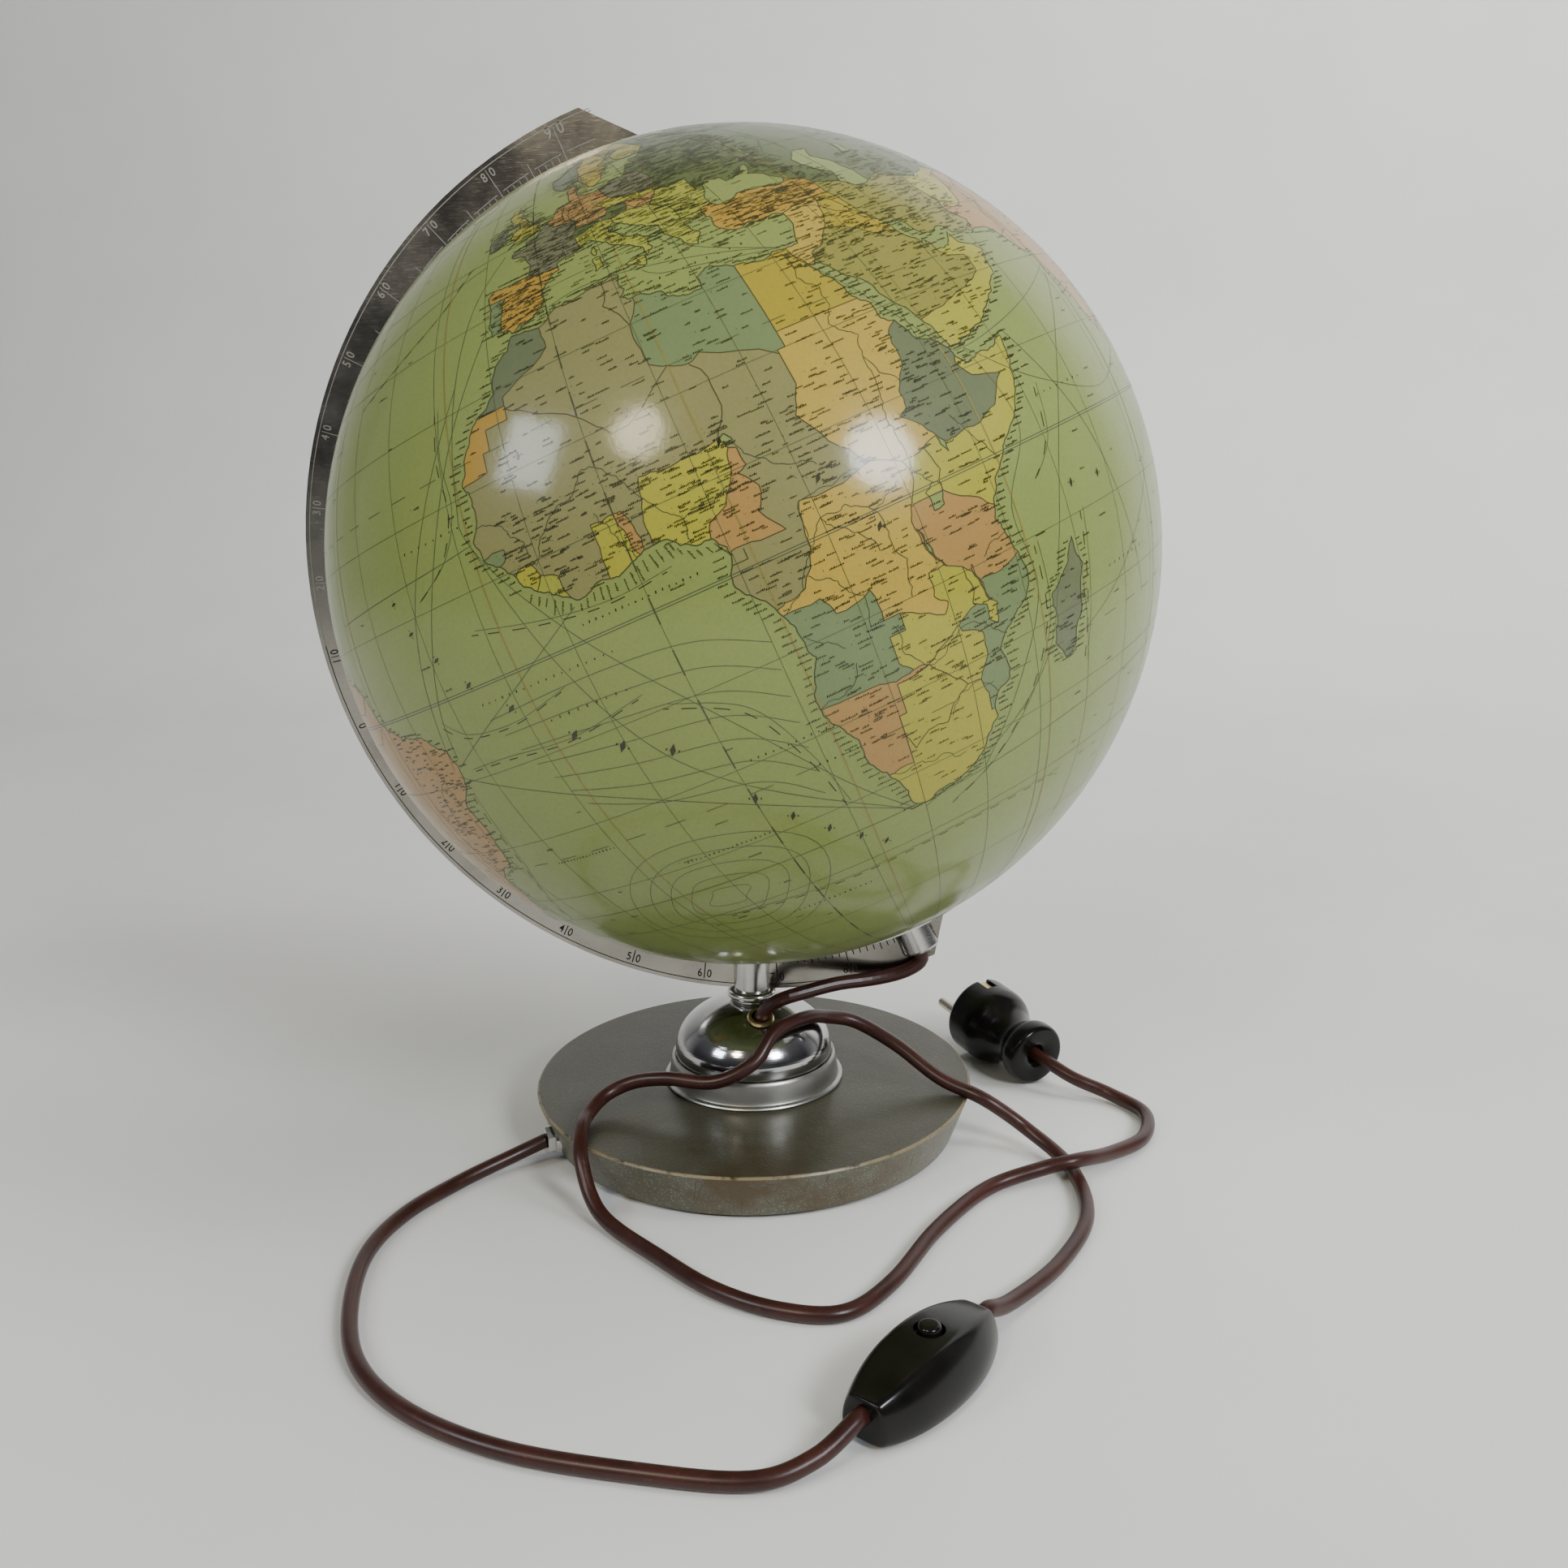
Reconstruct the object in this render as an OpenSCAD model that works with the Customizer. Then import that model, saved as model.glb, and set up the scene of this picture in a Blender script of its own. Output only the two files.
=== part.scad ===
// Illuminated earth globe: a map ball on a leaning polar axis, a half meridian
// of flat polished plate, a slotted stem, a dome foot on a round wooden base,
// and a mains cord with an in-line switch and a two-pin plug.
// Millimetres, +Z up. The origin is the centre of the felt's underside.
// The meridian plate lies in the XZ plane, and the front of the globe is -Y.

/* [Ball] */
// outside diameter of the map ball
ball_d = 340; // [336:1:342]
// lean of the polar axis from upright, in degrees
tilt = 23.5; // [22:0.5:25]
// height of the ball's centre
ball_z = 254; // [252:1:256]
// wall of the glass ball
glass_wall = 3; // [2:0.5:5]
// thickness of the printed paper
paper_t = 0.4; // [0.2:0.1:0.6]
// diameter of the opening round the south pole
south_hole_d = 56; // [50:1:60]
// diameter of the cover over that opening
cover_d = 72; // [68:1:80]

/* [Meridian] */
// inner radius of the half ring
ring_ri = 174; // [173:0.5:176]
// outer radius of the half ring
ring_ro = 191.5; // [189:0.5:193]
// thickness of the plate
ring_t = 4; // [3:0.5:5]
// angle of the upper end's outer corner, from the north pole
ring_n_out = -3.8; // [-6:0.1:-3]
// angle of the upper end's inner corner
ring_n_in = -10; // [-12:0.1:-8]
// angle of the lower end's outer corner
ring_s_out = 181.3; // [180:0.1:183]
// angle of the lower end's inner corner
ring_s_in = 185.6; // [184:0.1:188]
// diameter of the north pivot pin
north_pin_d = 2.4; // [2:0.1:3]

/* [Stem] */
// diameter of the stem
stem_d = 16.3; // [15:0.1:18]
// height of the stem's top
stem_top = 80.5; // [79:0.5:82]
// outside diameter of the bead round the stem's foot
collar_d = 22.6; // [20:0.1:25]

/* [Dome] */
// half width of the dome
dome_a = 34.8; // [33:0.1:36]
// rise of the dome over its middle plane
dome_b = 23.3; // [22:0.1:24]
// height of the dome's middle plane
dome_z = 35; // [34:0.5:36]
// height of the dome's lower edge
dome_foot_z = 30.5; // [30:0.1:31]
// wall of the dome and its skirt
dome_wall = 1.2; // [0.8:0.1:1.5]
// distance of the lead hole from the upright axis
lead_hole_r = 18.4; // [16:0.1:20]
// direction of the lead hole, in degrees
lead_hole_az = -72.6; // [-80:0.1:-65]

/* [Base] */
// radius of the base at its top edge
base_r_top = 96.5; // [94:0.5:100]
// radius of the base at its foot
base_r_foot = 88.4; // [86:0.1:92]
// height of the base's top, felt included
base_h = 21.5; // [20:0.5:24]
// thickness of the felt
felt_t = 1.5; // [1:0.1:2]
// direction of the cord gland, in degrees
gland_az = 211.5; // [205:0.5:220]
// height of the cord gland
gland_z = 11; // [10:0.5:12]

/* [Lamp] */
// outside diameter of the lamp tube
tube_d = 13; // [12:0.1:14]
// outside diameter of the cap that joins the tube to the meridian
cap_d = 17.4; // [17:0.1:18]
// diameter of the bulb's glass
bulb_d = 45; // [40:1:50]

/* [Cord] */
// diameter of the cord
cord_d = 6; // [5:0.1:7]
// sides of the cord's solids
cord_sides = 10; // [8:1:12]
// rings along the cord from the gland to the switch
cord_a_rings = 24; // [20:1:30]
// rings along the cord from the switch to the plug
cord_b_rings = 56; // [50:1:60]

/* [Switch] */
// length of the switch
switch_l = 75; // [70:1:80]
// width of the switch at its middle
switch_w = 32; // [30:1:34]
// height of the switch at its middle
switch_h = 26; // [24:1:28]
// height of the joint between the two halves
switch_split = 12; // [11:0.5:13]
// place of the rocker along the switch
rocker_x = 2; // [-4:0.5:6]

/* [Plug] */
// radius of the plug's front part
plug_r = 18.5; // [18:0.1:19]
// length of the plug's body
plug_l = 46.8; // [45:0.1:48]
// diameter of a plug pin
pin_d = 4.8; // [4:0.1:5]
// distance of each pin from the plug's middle
pin_y = 9.5; // [9:0.1:10]

/* [Hidden] */
$fn = 96;
big = 400;
ball_r = ball_d / 2;
glass_ro = ball_r - paper_t;
glass_ri = glass_ro - glass_wall;
south_hole_r = south_hole_d / 2;

// the north pivot: a brass cup in the glass, turning on a pin in the plate
cup_r = 5;
cup_flange_r = 7;
cup_flange_t = 1.2;
cup_depth = 8;
pivot_gap = 0.05;
pin_low = glass_ro - 6;
pin_high = ring_ro - 0.5;

// the south pivot, measured along the axis from the ball's centre
cover_t = 1.2;
bush_r = 10;
bush_flange_r = 13;
bush_low = 167.5;
bush_flange_top = 169.45;
bush_face = 171.8;
washer_face = 171.9;
cap_face = 172.7;
cap_end = 187;
cap_bore_end = 184;
cap_edge = 1;
tube_end = 181;
tube_top = 128;
tube_bore_d = 8;
lead_y = 5.15;

// lamp socket and bulb, measured the same way
socket_d = 27;
socket_low = 135;
socket_top = 100.4;
socket_floor = 118;
socket_well = 120;
shell_ro = 7.5;
shell_ri = 7;
contact_d = 6;
contact_top = 115;
bulb_s = 72;
bulb_wall = 0.8;
neck_s = 86;
neck_r = 17;
bulb_foot = 101;
bulb_foot_r = 7;
bulb_base_end = 113;

// stem, tie rod and what it clamps
stem_low = 50;
slot_z = ball_z - ring_ro;
collar_low = 58.4;
collar_top = slot_z - 0.1;
rod_d = 8;
rod_low = 3;
rod_high = 60;
ring_screw_z = 71.5;
ring_screw_d = 3.3;
ring_screw_head_d = 6.5;
ring_screw_seat = 6.5;

// underside of the base
recess_r = 66;
recess_z = 6.5;
well_r = 13;
well_z = 11.5;
washer_t = 1.6;
washer_r = 11.5;
nut_h = 6.5;
nut_d = 15;
iron_ro = 65;
iron_ri = 25;
iron_low = 2;
wood_screw_r = 45;
wood_screw_top = 16;

// gland
gland_bore_d = 10;
gland_in = 80;
gland_seat = 92;
gland_flange_d = 13;
gland_flange_t = 2.2;
gland_nut_d = 11.5;
gland_nut_t = 3.2;
gland_out = gland_seat + gland_flange_t + gland_nut_t;
channel_d = 7;

// switch
switch_at = [78.5, -190.5, 0];
switch_az = 56.4;
cord_hole_z = 11;
plan_r = 87;
top_r = 85;
foot_r = 178;
pivot_z = 18;
rocker_pin_d = 2;
rocker_w = 9;
rocker_r = 4;
rocker_rise = 7.5;
well_l = 30;
well_w = 12.6;
well_low_l = 46;
switch_wall = 3;
switch_screw = [19, 8.5];

// plug: its own z runs from the front face to the cord's end
plug_at = [102, 82, 19.92];
plug_az = -54.6;
plug_dip = 6.5;
pin_l = 19;
plug_split = 9;
clip_x = 16;
plug_screw_x = 10;

// routes of the cord, from the gland to the switch, then to the plug
cord_a = [
    [-83.05, -50.9, 11], [-95, -58.5, 7.4], [-113, -75, 3.6], [-127, -102, 3.3],
    [-131, -132, 3.3], [-123, -168, 3.3], [-108, -198, 3.3], [-83, -220, 3.3],
    [-48, -234.5, 3.3], [-6, -240.5, 3.3], [28, -241.5, 3.6], [46, -233.5, 6.2],
    [57.75, -221.75, 11]
];
cord_b = [
    [99.25, -159.25, 11], [108, -146, 6.2], [127, -115, 3.3], [140, -80, 3.3],
    [137, -43, 3.6], [121, -22.5, 9.6], [102, -20, 22], [83, -11.5, 27.2],
    [64, -1, 37.3], [46, 4, 45.5], [34, -1, 49.6], [25, -13, 54],
    [13, -27.5, 53], [5, -38.5, 43.5], [-11, -43.5, 36.6], [-32, -40.5, 36],
    [-47, -38.5, 33], [-58, -43.5, 29], [-63, -56, 26], [-62.5, -69, 25.6],
    [-60, -82, 20.5], [-54, -92, 9], [-44, -103, 3.8], [-22, -123, 3.3],
    [2, -143, 3.3], [27, -154, 3.3], [50, -153.5, 3.3], [66, -133, 3.3],
    [82, -95, 3.3], [102, -63, 3.8], [124, -53, 8], [139, -49, 10.4],
    [154, -33, 6], [170, -13, 3.6], [174, 11, 3.4], [161, 27.5, 4.4], [145, 31.5, 9.6],
    [134, 38.2, 13.8], [125.6, 48.8, 15.3]
];
// the held part of the cord: base, dome, then outside to the lamp cap
lead_route = [
    [-83.05, -50.9, 11], [-64, -39.2, 11], [-47, -28.8, 11], [-34.1, -20.9, 11.6],
    [-27.3, -16.7, 15.2], [-22.6, -13.8, 22], [-19, -12.6, 31], [-13, -14, 40],
    [-4, -15, 45], [2.6, -15.4, 49], [5.5, -17.6, 54.8], [9.5, -21, 61.6],
    [16, -24, 66.6], [26, -20, 68.6], [39, -14, 70.3], [52, -9.5, 70.8],
    [62, -7, 72.2], [69.5, -6, 74.8], [74.4, -5.4, 78.4], [74.6, -5.15, 82.5],
    [73.45, -5.15, 85.1]
];
wire_route = [
    [1.3, 5.1, 184.1], [1.3, 3, 181.4], [1.3, 1, 178], [1.3, 0, 172],
    [1.3, 0, 150], [1.4, 0, 132], [2.6, 0, 126], [3, 0, 120]
];

function unit(v) = v / norm(v);
function at(route, i) = route[max(0, min(len(route) - 1, i))];
function bend(a, b, c, d, t) =
    0.5 * (2 * b + (c - a) * t + (2 * a - 5 * b + 4 * c - d) * t * t
    + (3 * b - a - 3 * c + d) * t * t * t);
function along(route, u) =
    let (s = u * (len(route) - 1), i = min(floor(s), len(route) - 2))
    bend(at(route, i - 1), at(route, i), at(route, i + 1), at(route, i + 2), s - i);
function heading(route, u) =
    unit(along(route, min(1, u + 0.002)) - along(route, max(0, u - 0.002)));
function ellipse(a, b, z) = a * sqrt(max(0, 1 - pow((z - dome_z) / b, 2)));
function ellipse_z(a, b, r) = dome_z + b * sqrt(1 - pow(r / a, 2));
function ring_point(angle, r) = [-r * sin(angle), r * cos(angle)];

// a closed tube along a route; ref is a direction the route never takes
module tube_along(route, d, rings, sides, ref) {
    ring_points = [
        for (k = [0 : rings - 1])
            let (u = k / (rings - 1), p = along(route, u), t = heading(route, u))
            let (side = unit(cross(t, ref)), up = cross(side, t))
            for (j = [0 : sides - 1])
                p + d / 2 * (cos(360 * j / sides) * side + sin(360 * j / sides) * up)
    ];
    walls = [
        for (k = [0 : rings - 2], j = [0 : sides - 1])
            let (a = k * sides + j, b = k * sides + (j + 1) % sides)
            each [[a, a + sides, b], [b, a + sides, b + sides]]
    ];
    first = [for (j = [0 : sides - 1]) j];
    last = [for (j = [sides - 1 : -1 : 0]) (rings - 1) * sides + j];
    polyhedron(points = ring_points, faces = concat(walls, [first], [last]));
}

// +Z north along the polar axis
module polar() translate([0, 0, ball_z]) rotate([0, -tilt, 0]) children();
// +Z south along the polar axis, +Y to the front
module south() polar() rotate([180, 0, 0]) children();
// a cylinder between two heights
module rod(d, low, high) translate([0, 0, low]) cylinder(d = d, h = high - low);
// +Z out of the base along the gland
module gland_axis() rotate([0, 0, gland_az]) translate([0, 0, gland_z]) rotate([0, 90, 0]) children();
// +Z out of the dome at the lead hole
module lead_hole_axis() {
    hole_z = ellipse_z(dome_a, dome_b, lead_hole_r);
    lean = atan2(lead_hole_r / pow(dome_a, 2), (hole_z - dome_z) / pow(dome_b, 2));
    rotate([0, 0, lead_hole_az]) translate([lead_hole_r, 0, hole_z]) rotate([0, lean, 0]) children();
}
module switch_place() translate(switch_at) rotate([0, 0, switch_az]) children();
module plug_place() translate(plug_at) rotate([0, 90 + plug_dip, plug_az]) children();

// ---- base ----
module felt_pad() color("darkolivegreen") cylinder(r = base_r_foot - 2.4, h = felt_t);

module base_disc() color("dimgray") difference() {
    rotate_extrude() polygon([
        [0, felt_t], [base_r_foot, felt_t], [base_r_foot + 0.8, felt_t + 0.6],
        [base_r_top - 0.2, base_h - 0.9], [base_r_top - 0.6, base_h - 0.2],
        [base_r_top - 1.3, base_h], [0, base_h]
    ]);
    rod(2 * recess_r, -1, recess_z);
    rod(2 * well_r, -1, well_z);
    rod(rod_d + 0.4, 0, base_h + 1);
    gland_axis() rod(channel_d, 30, gland_in + 1);
    gland_axis() rod(gland_bore_d, gland_in, base_r_top + 5);
    gland_axis() rod(gland_flange_d + 0.4, gland_seat, base_r_top + 5);
    rotate([0, 0, gland_az]) translate([17, -4, 7.75]) cube([19, 8, 20]);
    rotate([0, 0, gland_az]) translate([30, -4, 7.75]) cube([18, 8, 8.75]);
    ballast_screw_places() rod(3, recess_z - 1, wood_screw_top);
}

module ballast_screw_places() for (a = [30, 150, 270]) rotate([0, 0, a]) translate([wood_screw_r, 0, 0]) children();

module ballast_ring() color("slategray") difference() {
    rod(2 * iron_ro, iron_low, recess_z);
    rod(2 * iron_ri, iron_low - 1, recess_z + 1);
    ballast_screw_places() rod(3, 0, recess_z + 1);
    ballast_screw_places() translate([0, 0, iron_low]) cylinder(d1 = 7, d2 = 3, h = 2);
}

module ballast_screws() color("silver") ballast_screw_places() {
    translate([0, 0, iron_low]) cylinder(d1 = 7, d2 = 3, h = 2);
    rod(3, iron_low + 2, wood_screw_top);
}

module tie_rod() color("silver") rod(rod_d, rod_low, rod_high);

module tie_washer() color("silver") difference() {
    rod(2 * washer_r, well_z - washer_t, well_z);
    rod(rod_d, 0, well_z + 1);
}

module tie_nut() color("silver") difference() {
    translate([0, 0, well_z - washer_t - nut_h]) cylinder(d = nut_d, h = nut_h, $fn = 6);
    rod(rod_d, 0, well_z);
}

module gland_body() color("silver") gland_axis() difference() {
    union() {
        rod(gland_bore_d, gland_in, gland_seat);
        translate([0, 0, gland_seat]) cylinder(d1 = gland_flange_d, d2 = 12, h = gland_flange_t);
    }
    rod(cord_d, 0, big);
}

module gland_nut() color("gainsboro") gland_axis() difference() {
    translate([0, 0, gland_seat + gland_flange_t]) cylinder(d = gland_nut_d, h = gland_nut_t, $fn = 6);
    rod(cord_d, 0, big);
}

// ---- dome and stem ----
module dome_skirt() color("silver") rotate_extrude() {
    polygon([
        [33, dome_foot_z - dome_wall], [35.8, dome_foot_z - dome_wall], [36.1, 27.5],
        [36.9, 25], [37.8, 23.4], [38.2, 22.6], [39.4, 23.4], [39, 23.7], [38.2, 25.4],
        [37.5, 27.5], [37.2, 29.5], [37, 31], [36.2, 31], [35.9, dome_foot_z],
        [33, dome_foot_z]
    ]);
    translate([38.8, base_h + 1]) circle(r = 1);
}

module dome_shape(a, b, low, top_r) {
    steps = 40;
    top = ellipse_z(a, b, top_r);
    rotate_extrude() polygon(concat(
        [[0, low]],
        [for (i = [0 : steps])
            let (w = asin((low - dome_z) / b) * (1 - i / steps) + asin((top - dome_z) / b) * i / steps)
            [a * cos(w), dome_z + b * sin(w)]],
        [[0, top]]
    ));
}

module dome() color("silver") difference() {
    dome_shape(dome_a, dome_b, dome_foot_z, stem_d / 2 - 0.2);
    dome_shape(dome_a - dome_wall, dome_b - dome_wall, dome_foot_z - 0.5, stem_d / 2 - 0.2);
    rod(stem_d, stem_low, collar_top);
    lead_hole_axis() rod(9.4, -8, 8);
}

module lead_bush() color("gold") lead_hole_axis() difference() {
    union() {
        rod(9.4, -2.4, 0.4);
        translate([0, 0, 0.4]) cylinder(d1 = 11.8, d2 = 10.6, h = 1);
    }
    rod(8, -4, 4);
}

module stem() color("silver") difference() {
    union() {
        rod(stem_d, stem_low, stem_top - 0.6);
        translate([0, 0, stem_top - 0.6]) cylinder(d1 = stem_d, d2 = stem_d - 1.2, h = 0.6);
    }
    translate([-big / 2, -ring_t / 2, slot_z]) cube([big, ring_t, 30]);
    rod(rod_d, stem_low - 1, rod_high);
    ring_screw_bores();
}

module ring_screw_bores() translate([0, 0, ring_screw_z]) rotate([-90, 0, 0]) {
    rod(ring_screw_d, -5, 10);
    rod(ring_screw_head_d, ring_screw_seat, 12);
}

module ring_screw() color("silver") translate([0, 0, ring_screw_z]) rotate([-90, 0, 0]) difference() {
    union() {
        rod(ring_screw_d, -5, ring_screw_seat);
        rod(ring_screw_head_d, ring_screw_seat, ring_screw_seat + 2.4);
    }
    translate([-4, -0.5, ring_screw_seat + 1.4]) cube([8, 1, 2]);
}

module stem_collar() color("silver") rotate_extrude() difference() {
    union() {
        translate([stem_d / 2, ellipse_z(dome_a, dome_b, stem_d / 2)])
            square([1.3, collar_low + 1 - ellipse_z(dome_a, dome_b, stem_d / 2)]);
        translate([stem_d / 2, collar_low]) square([collar_d / 2 - 2 - stem_d / 2, collar_top - collar_low]);
        translate([collar_d / 2 - 2, (collar_low + collar_top) / 2]) circle(r = (collar_top - collar_low) / 2);
    }
    square([stem_d / 2 + 0.02, collar_top + 1]);
}

// ---- meridian and pivots ----
module ring_outline() {
    n_in = ring_point(ring_n_in, ring_ri);
    n_out = ring_point(ring_n_out, ring_ro);
    s_in = ring_point(ring_s_in, ring_ri);
    s_out = ring_point(ring_s_out, ring_ro);
    difference() {
        intersection() {
            difference() {
                circle(r = ring_ro);
                circle(r = ring_ri);
            }
            polygon([
                2 * n_in - n_out, 2 * n_out - n_in, [-big, big], [-big, -big],
                2 * s_out - s_in, 2 * s_in - s_out
            ]);
        }
        translate([-tube_d / 2, -cap_bore_end]) square([tube_d, 20]);
    }
}

module meridian_ring() color("lightgray") difference() {
    polar() difference() {
        rotate([90, 0, 0]) linear_extrude(height = ring_t, center = true) ring_outline();
        rod(north_pin_d, pin_low, big);
    }
    ring_screw_bores();
}

module north_pin() color("silver") polar() rod(north_pin_d, pin_low, pin_high);

module thrust_washer() color("goldenrod") south() difference() {
    rod(17, washer_face, cap_face);
    rod(tube_d, washer_face - 1, cap_face + 1);
}

module socket_cap() color("silver") south() difference() {
    union() {
        rod(cap_d, cap_face, cap_end - cap_edge);
        translate([0, 0, cap_end - cap_edge]) cylinder(d1 = cap_d, d2 = cap_d - 1, h = cap_edge);
    }
    rod(tube_d, cap_face - 1, cap_bore_end);
    translate([-cap_d, -ring_t / 2, ring_ri - 0.3]) cube([2 * cap_d, ring_t, 20]);
    translate([0, lead_y, 0]) rod(cord_d, cap_bore_end - 2, cap_end + 1);
}

// ---- lamp ----
module lamp_tube() color("silver") south() difference() {
    rod(tube_d, tube_top, tube_end);
    rod(tube_bore_d, tube_top - 1, tube_end + 1);
}

module lamp_socket() color("saddlebrown") south() difference() {
    rod(socket_d, socket_top, socket_low);
    rod(tube_d, tube_top, socket_low + 1);
    rod(tube_bore_d + 2, socket_well, tube_top + 1);
    rod(contact_d, socket_floor - 1, socket_well + 1);
    rod(2 * shell_ro, socket_top - 1, socket_floor);
}

module socket_shell() color("goldenrod") south() difference() {
    rod(2 * shell_ro, bulb_foot + 0.1, socket_floor - 1);
    rod(2 * shell_ri, socket_top - 1, socket_floor);
}

module socket_contact() color("goldenrod") south() rod(contact_d, contact_top, socket_well);

module bulb_base() color("silver") south() {
    rod(2 * shell_ri, bulb_foot, bulb_base_end);
    rod(5, bulb_base_end, contact_top);
}

module bulb_glass() color("white") south() difference() {
    union() {
        translate([0, 0, bulb_s]) sphere(d = bulb_d);
        translate([0, 0, neck_s]) cylinder(r1 = neck_r, r2 = bulb_foot_r, h = bulb_foot - neck_s);
    }
    translate([0, 0, bulb_s]) sphere(d = bulb_d - 2 * bulb_wall);
    translate([0, 0, neck_s - 0.2])
        cylinder(r1 = neck_r - bulb_wall, r2 = bulb_foot_r - bulb_wall, h = bulb_foot - neck_s - 1);
}

module lamp_wires() color("gray") south() for (m = [0, 1]) mirror([m, 0, 0])
    tube_along(wire_route, 1.8, 16, 8, [1, 0, 0]);

module inner_lead() color("brown") tube_along(lead_route, cord_d, 58, 14, [0, 1, 0]);

// ---- ball ----
module globe_glass() color("white") polar() difference() {
    sphere(r = glass_ro);
    sphere(r = glass_ri);
    rod(2 * south_hole_r, -ball_r - 5, -ball_r / 2);
    rod(2 * cup_r, ball_r / 2, ball_r + 5);
}

module map_skin() color("darkkhaki") polar() difference() {
    sphere(r = ball_r);
    sphere(r = glass_ro);
    rod(2 * south_hole_r, -ball_r - 5, -ball_r / 2);
    rod(2 * cup_flange_r + 0.4, ball_r / 2, ball_r + 5);
}

module north_bearing() color("goldenrod") polar() difference() {
    union() {
        rod(2 * cup_r, glass_ro - cup_depth, glass_ro);
        rod(2 * cup_flange_r, glass_ro, glass_ro + cup_flange_t);
    }
    rod(north_pin_d + 2 * pivot_gap, glass_ro - cup_depth + 1, ball_r + 5);
}

module south_cover() color("silver") south() difference() {
    union() {
        intersection() {
            difference() {
                sphere(r = ball_r + cover_t);
                sphere(r = ball_r);
            }
            rod(cover_d, ball_r / 2, ball_r + 5);
        }
        difference() {
            rod(2 * south_hole_r, 160, 168.4);
            rod(2 * south_hole_r - 4, 159, 170);
        }
    }
    rod(2 * bush_r, 150, ball_r + 5);
}

module south_bush() color("ivory") south() difference() {
    union() {
        rod(2 * bush_r, bush_low, bush_face);
        rod(2 * bush_flange_r, bush_low, bush_flange_top);
    }
    rod(tube_d + 2 * pivot_gap, bush_low - 1, bush_face + 1);
}

// ---- cord ----
module cord_base_to_switch() color("brown") tube_along(cord_a, cord_d, cord_a_rings, cord_sides, [0, 0, 1]);
module cord_switch_to_plug() color("brown") tube_along(cord_b, cord_d, cord_b_rings, cord_sides, [0, 0, 1]);

// ---- switch ----
module switch_shape() intersection() {
    linear_extrude(height = 2 * switch_h) intersection() {
        translate([0, plan_r - switch_w / 2]) circle(r = plan_r, $fn = 360);
        translate([0, switch_w / 2 - plan_r]) circle(r = plan_r, $fn = 360);
        square([switch_l, switch_w], center = true);
    }
    rotate([90, 0, 0]) linear_extrude(height = 2 * switch_w, center = true) intersection() {
        translate([0, switch_h - top_r]) circle(r = top_r, $fn = 360);
        translate([0, foot_r]) circle(r = foot_r, $fn = 720);
    }
    rotate([90, 0, 90]) linear_extrude(height = 2 * switch_l, center = true) polygon([
        [-16.5, -1], [16.5, -1], [16.5, 14], [9, switch_h + 1], [-9, switch_h + 1], [-16.5, 14]
    ]);
}

module switch_bores() {
    translate([0, 0, cord_hole_z]) rotate([0, 90, 0]) {
        rod(cord_d, -switch_l, -well_l / 2 + 1);
        rod(cord_d, well_l / 2 - 1, switch_l);
    }
    switch_screw_places() {
        rod(4.4, -5, 4);
        rod(2.6, 0, 17);
    }
}

module switch_screw_places() for (s = [-1, 1]) translate([s * switch_screw[0], -s * switch_screw[1], 0]) children();

module switch_lower() color("dimgray") switch_place() difference() {
    intersection() {
        switch_shape();
        rod(2 * switch_l, -1, switch_split);
    }
    translate([-well_low_l / 2, -well_w / 2, switch_wall]) cube([well_low_l, well_w, switch_h]);
    switch_bores();
}

module switch_upper() color("dimgray") switch_place() difference() {
    intersection() {
        switch_shape();
        rod(2 * switch_l, switch_split, 2 * switch_h);
    }
    translate([-well_l / 2, -well_w / 2, 0]) cube([well_l, well_w, switch_h - switch_wall]);
    translate([rocker_x - 6.5, -4.7, 0]) cube([13, 9.4, 2 * switch_h]);
    switch_bores();
    translate([rocker_x, 0, pivot_z]) rotate([90, 0, 0]) rod(rocker_pin_d, -9, 9);
}

module switch_pin() color("silver") switch_place()
    translate([rocker_x, 0, pivot_z]) rotate([90, 0, 0]) rod(rocker_pin_d, -9, 9);

module switch_rocker() color("black") switch_place() translate([rocker_x, 0, pivot_z]) difference() {
    union() {
        rotate([90, 0, 0]) rod(2 * rocker_r, -rocker_w / 2, rocker_w / 2);
        translate([-rocker_r, -rocker_w / 2, 0]) cube([2 * rocker_r, rocker_w, rocker_rise]);
        translate([0, 0, rocker_rise]) rotate([90, 0, 0]) rod(2 * rocker_r, -rocker_w / 2, rocker_w / 2);
    }
    rotate([90, 0, 0]) rod(rocker_pin_d + 2 * pivot_gap, -10, 10);
}

module switch_screws() color("silver") switch_place() switch_screw_places() {
    rod(4.4, 1.8, 4);
    rod(2.6, 4, 17);
}

module switch_contacts() color("goldenrod") switch_place() for (s = [-1, 1])
    translate([s * 18 - 4, -4, switch_wall]) cube([8, 8, 4.5]);

// ---- plug ----
module plug_pin_places() for (s = [-1, 1]) translate([0, s * pin_y, 0]) children();

module clip_slots() for (s = [-1, 1]) translate([s * (clip_x + 2) - 2, -3, -1]) cube([4, 6, 14]);

module plug_screw_bore() translate([-plug_screw_x, 0, 0]) {
    rod(6, -1, 3);
    rod(3, 0, 20);
}

module plug_body() color("dimgray") plug_place() difference() {
    rotate_extrude() polygon([
        [0, 0], [plug_r - 1.4, 0], [plug_r - 0.4, 0.4], [plug_r, 1.4],
        [plug_r, plug_split], [0, plug_split]
    ]);
    plug_pin_places() rod(pin_d, -1, plug_split + 1);
    clip_slots();
    plug_screw_bore();
}

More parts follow.
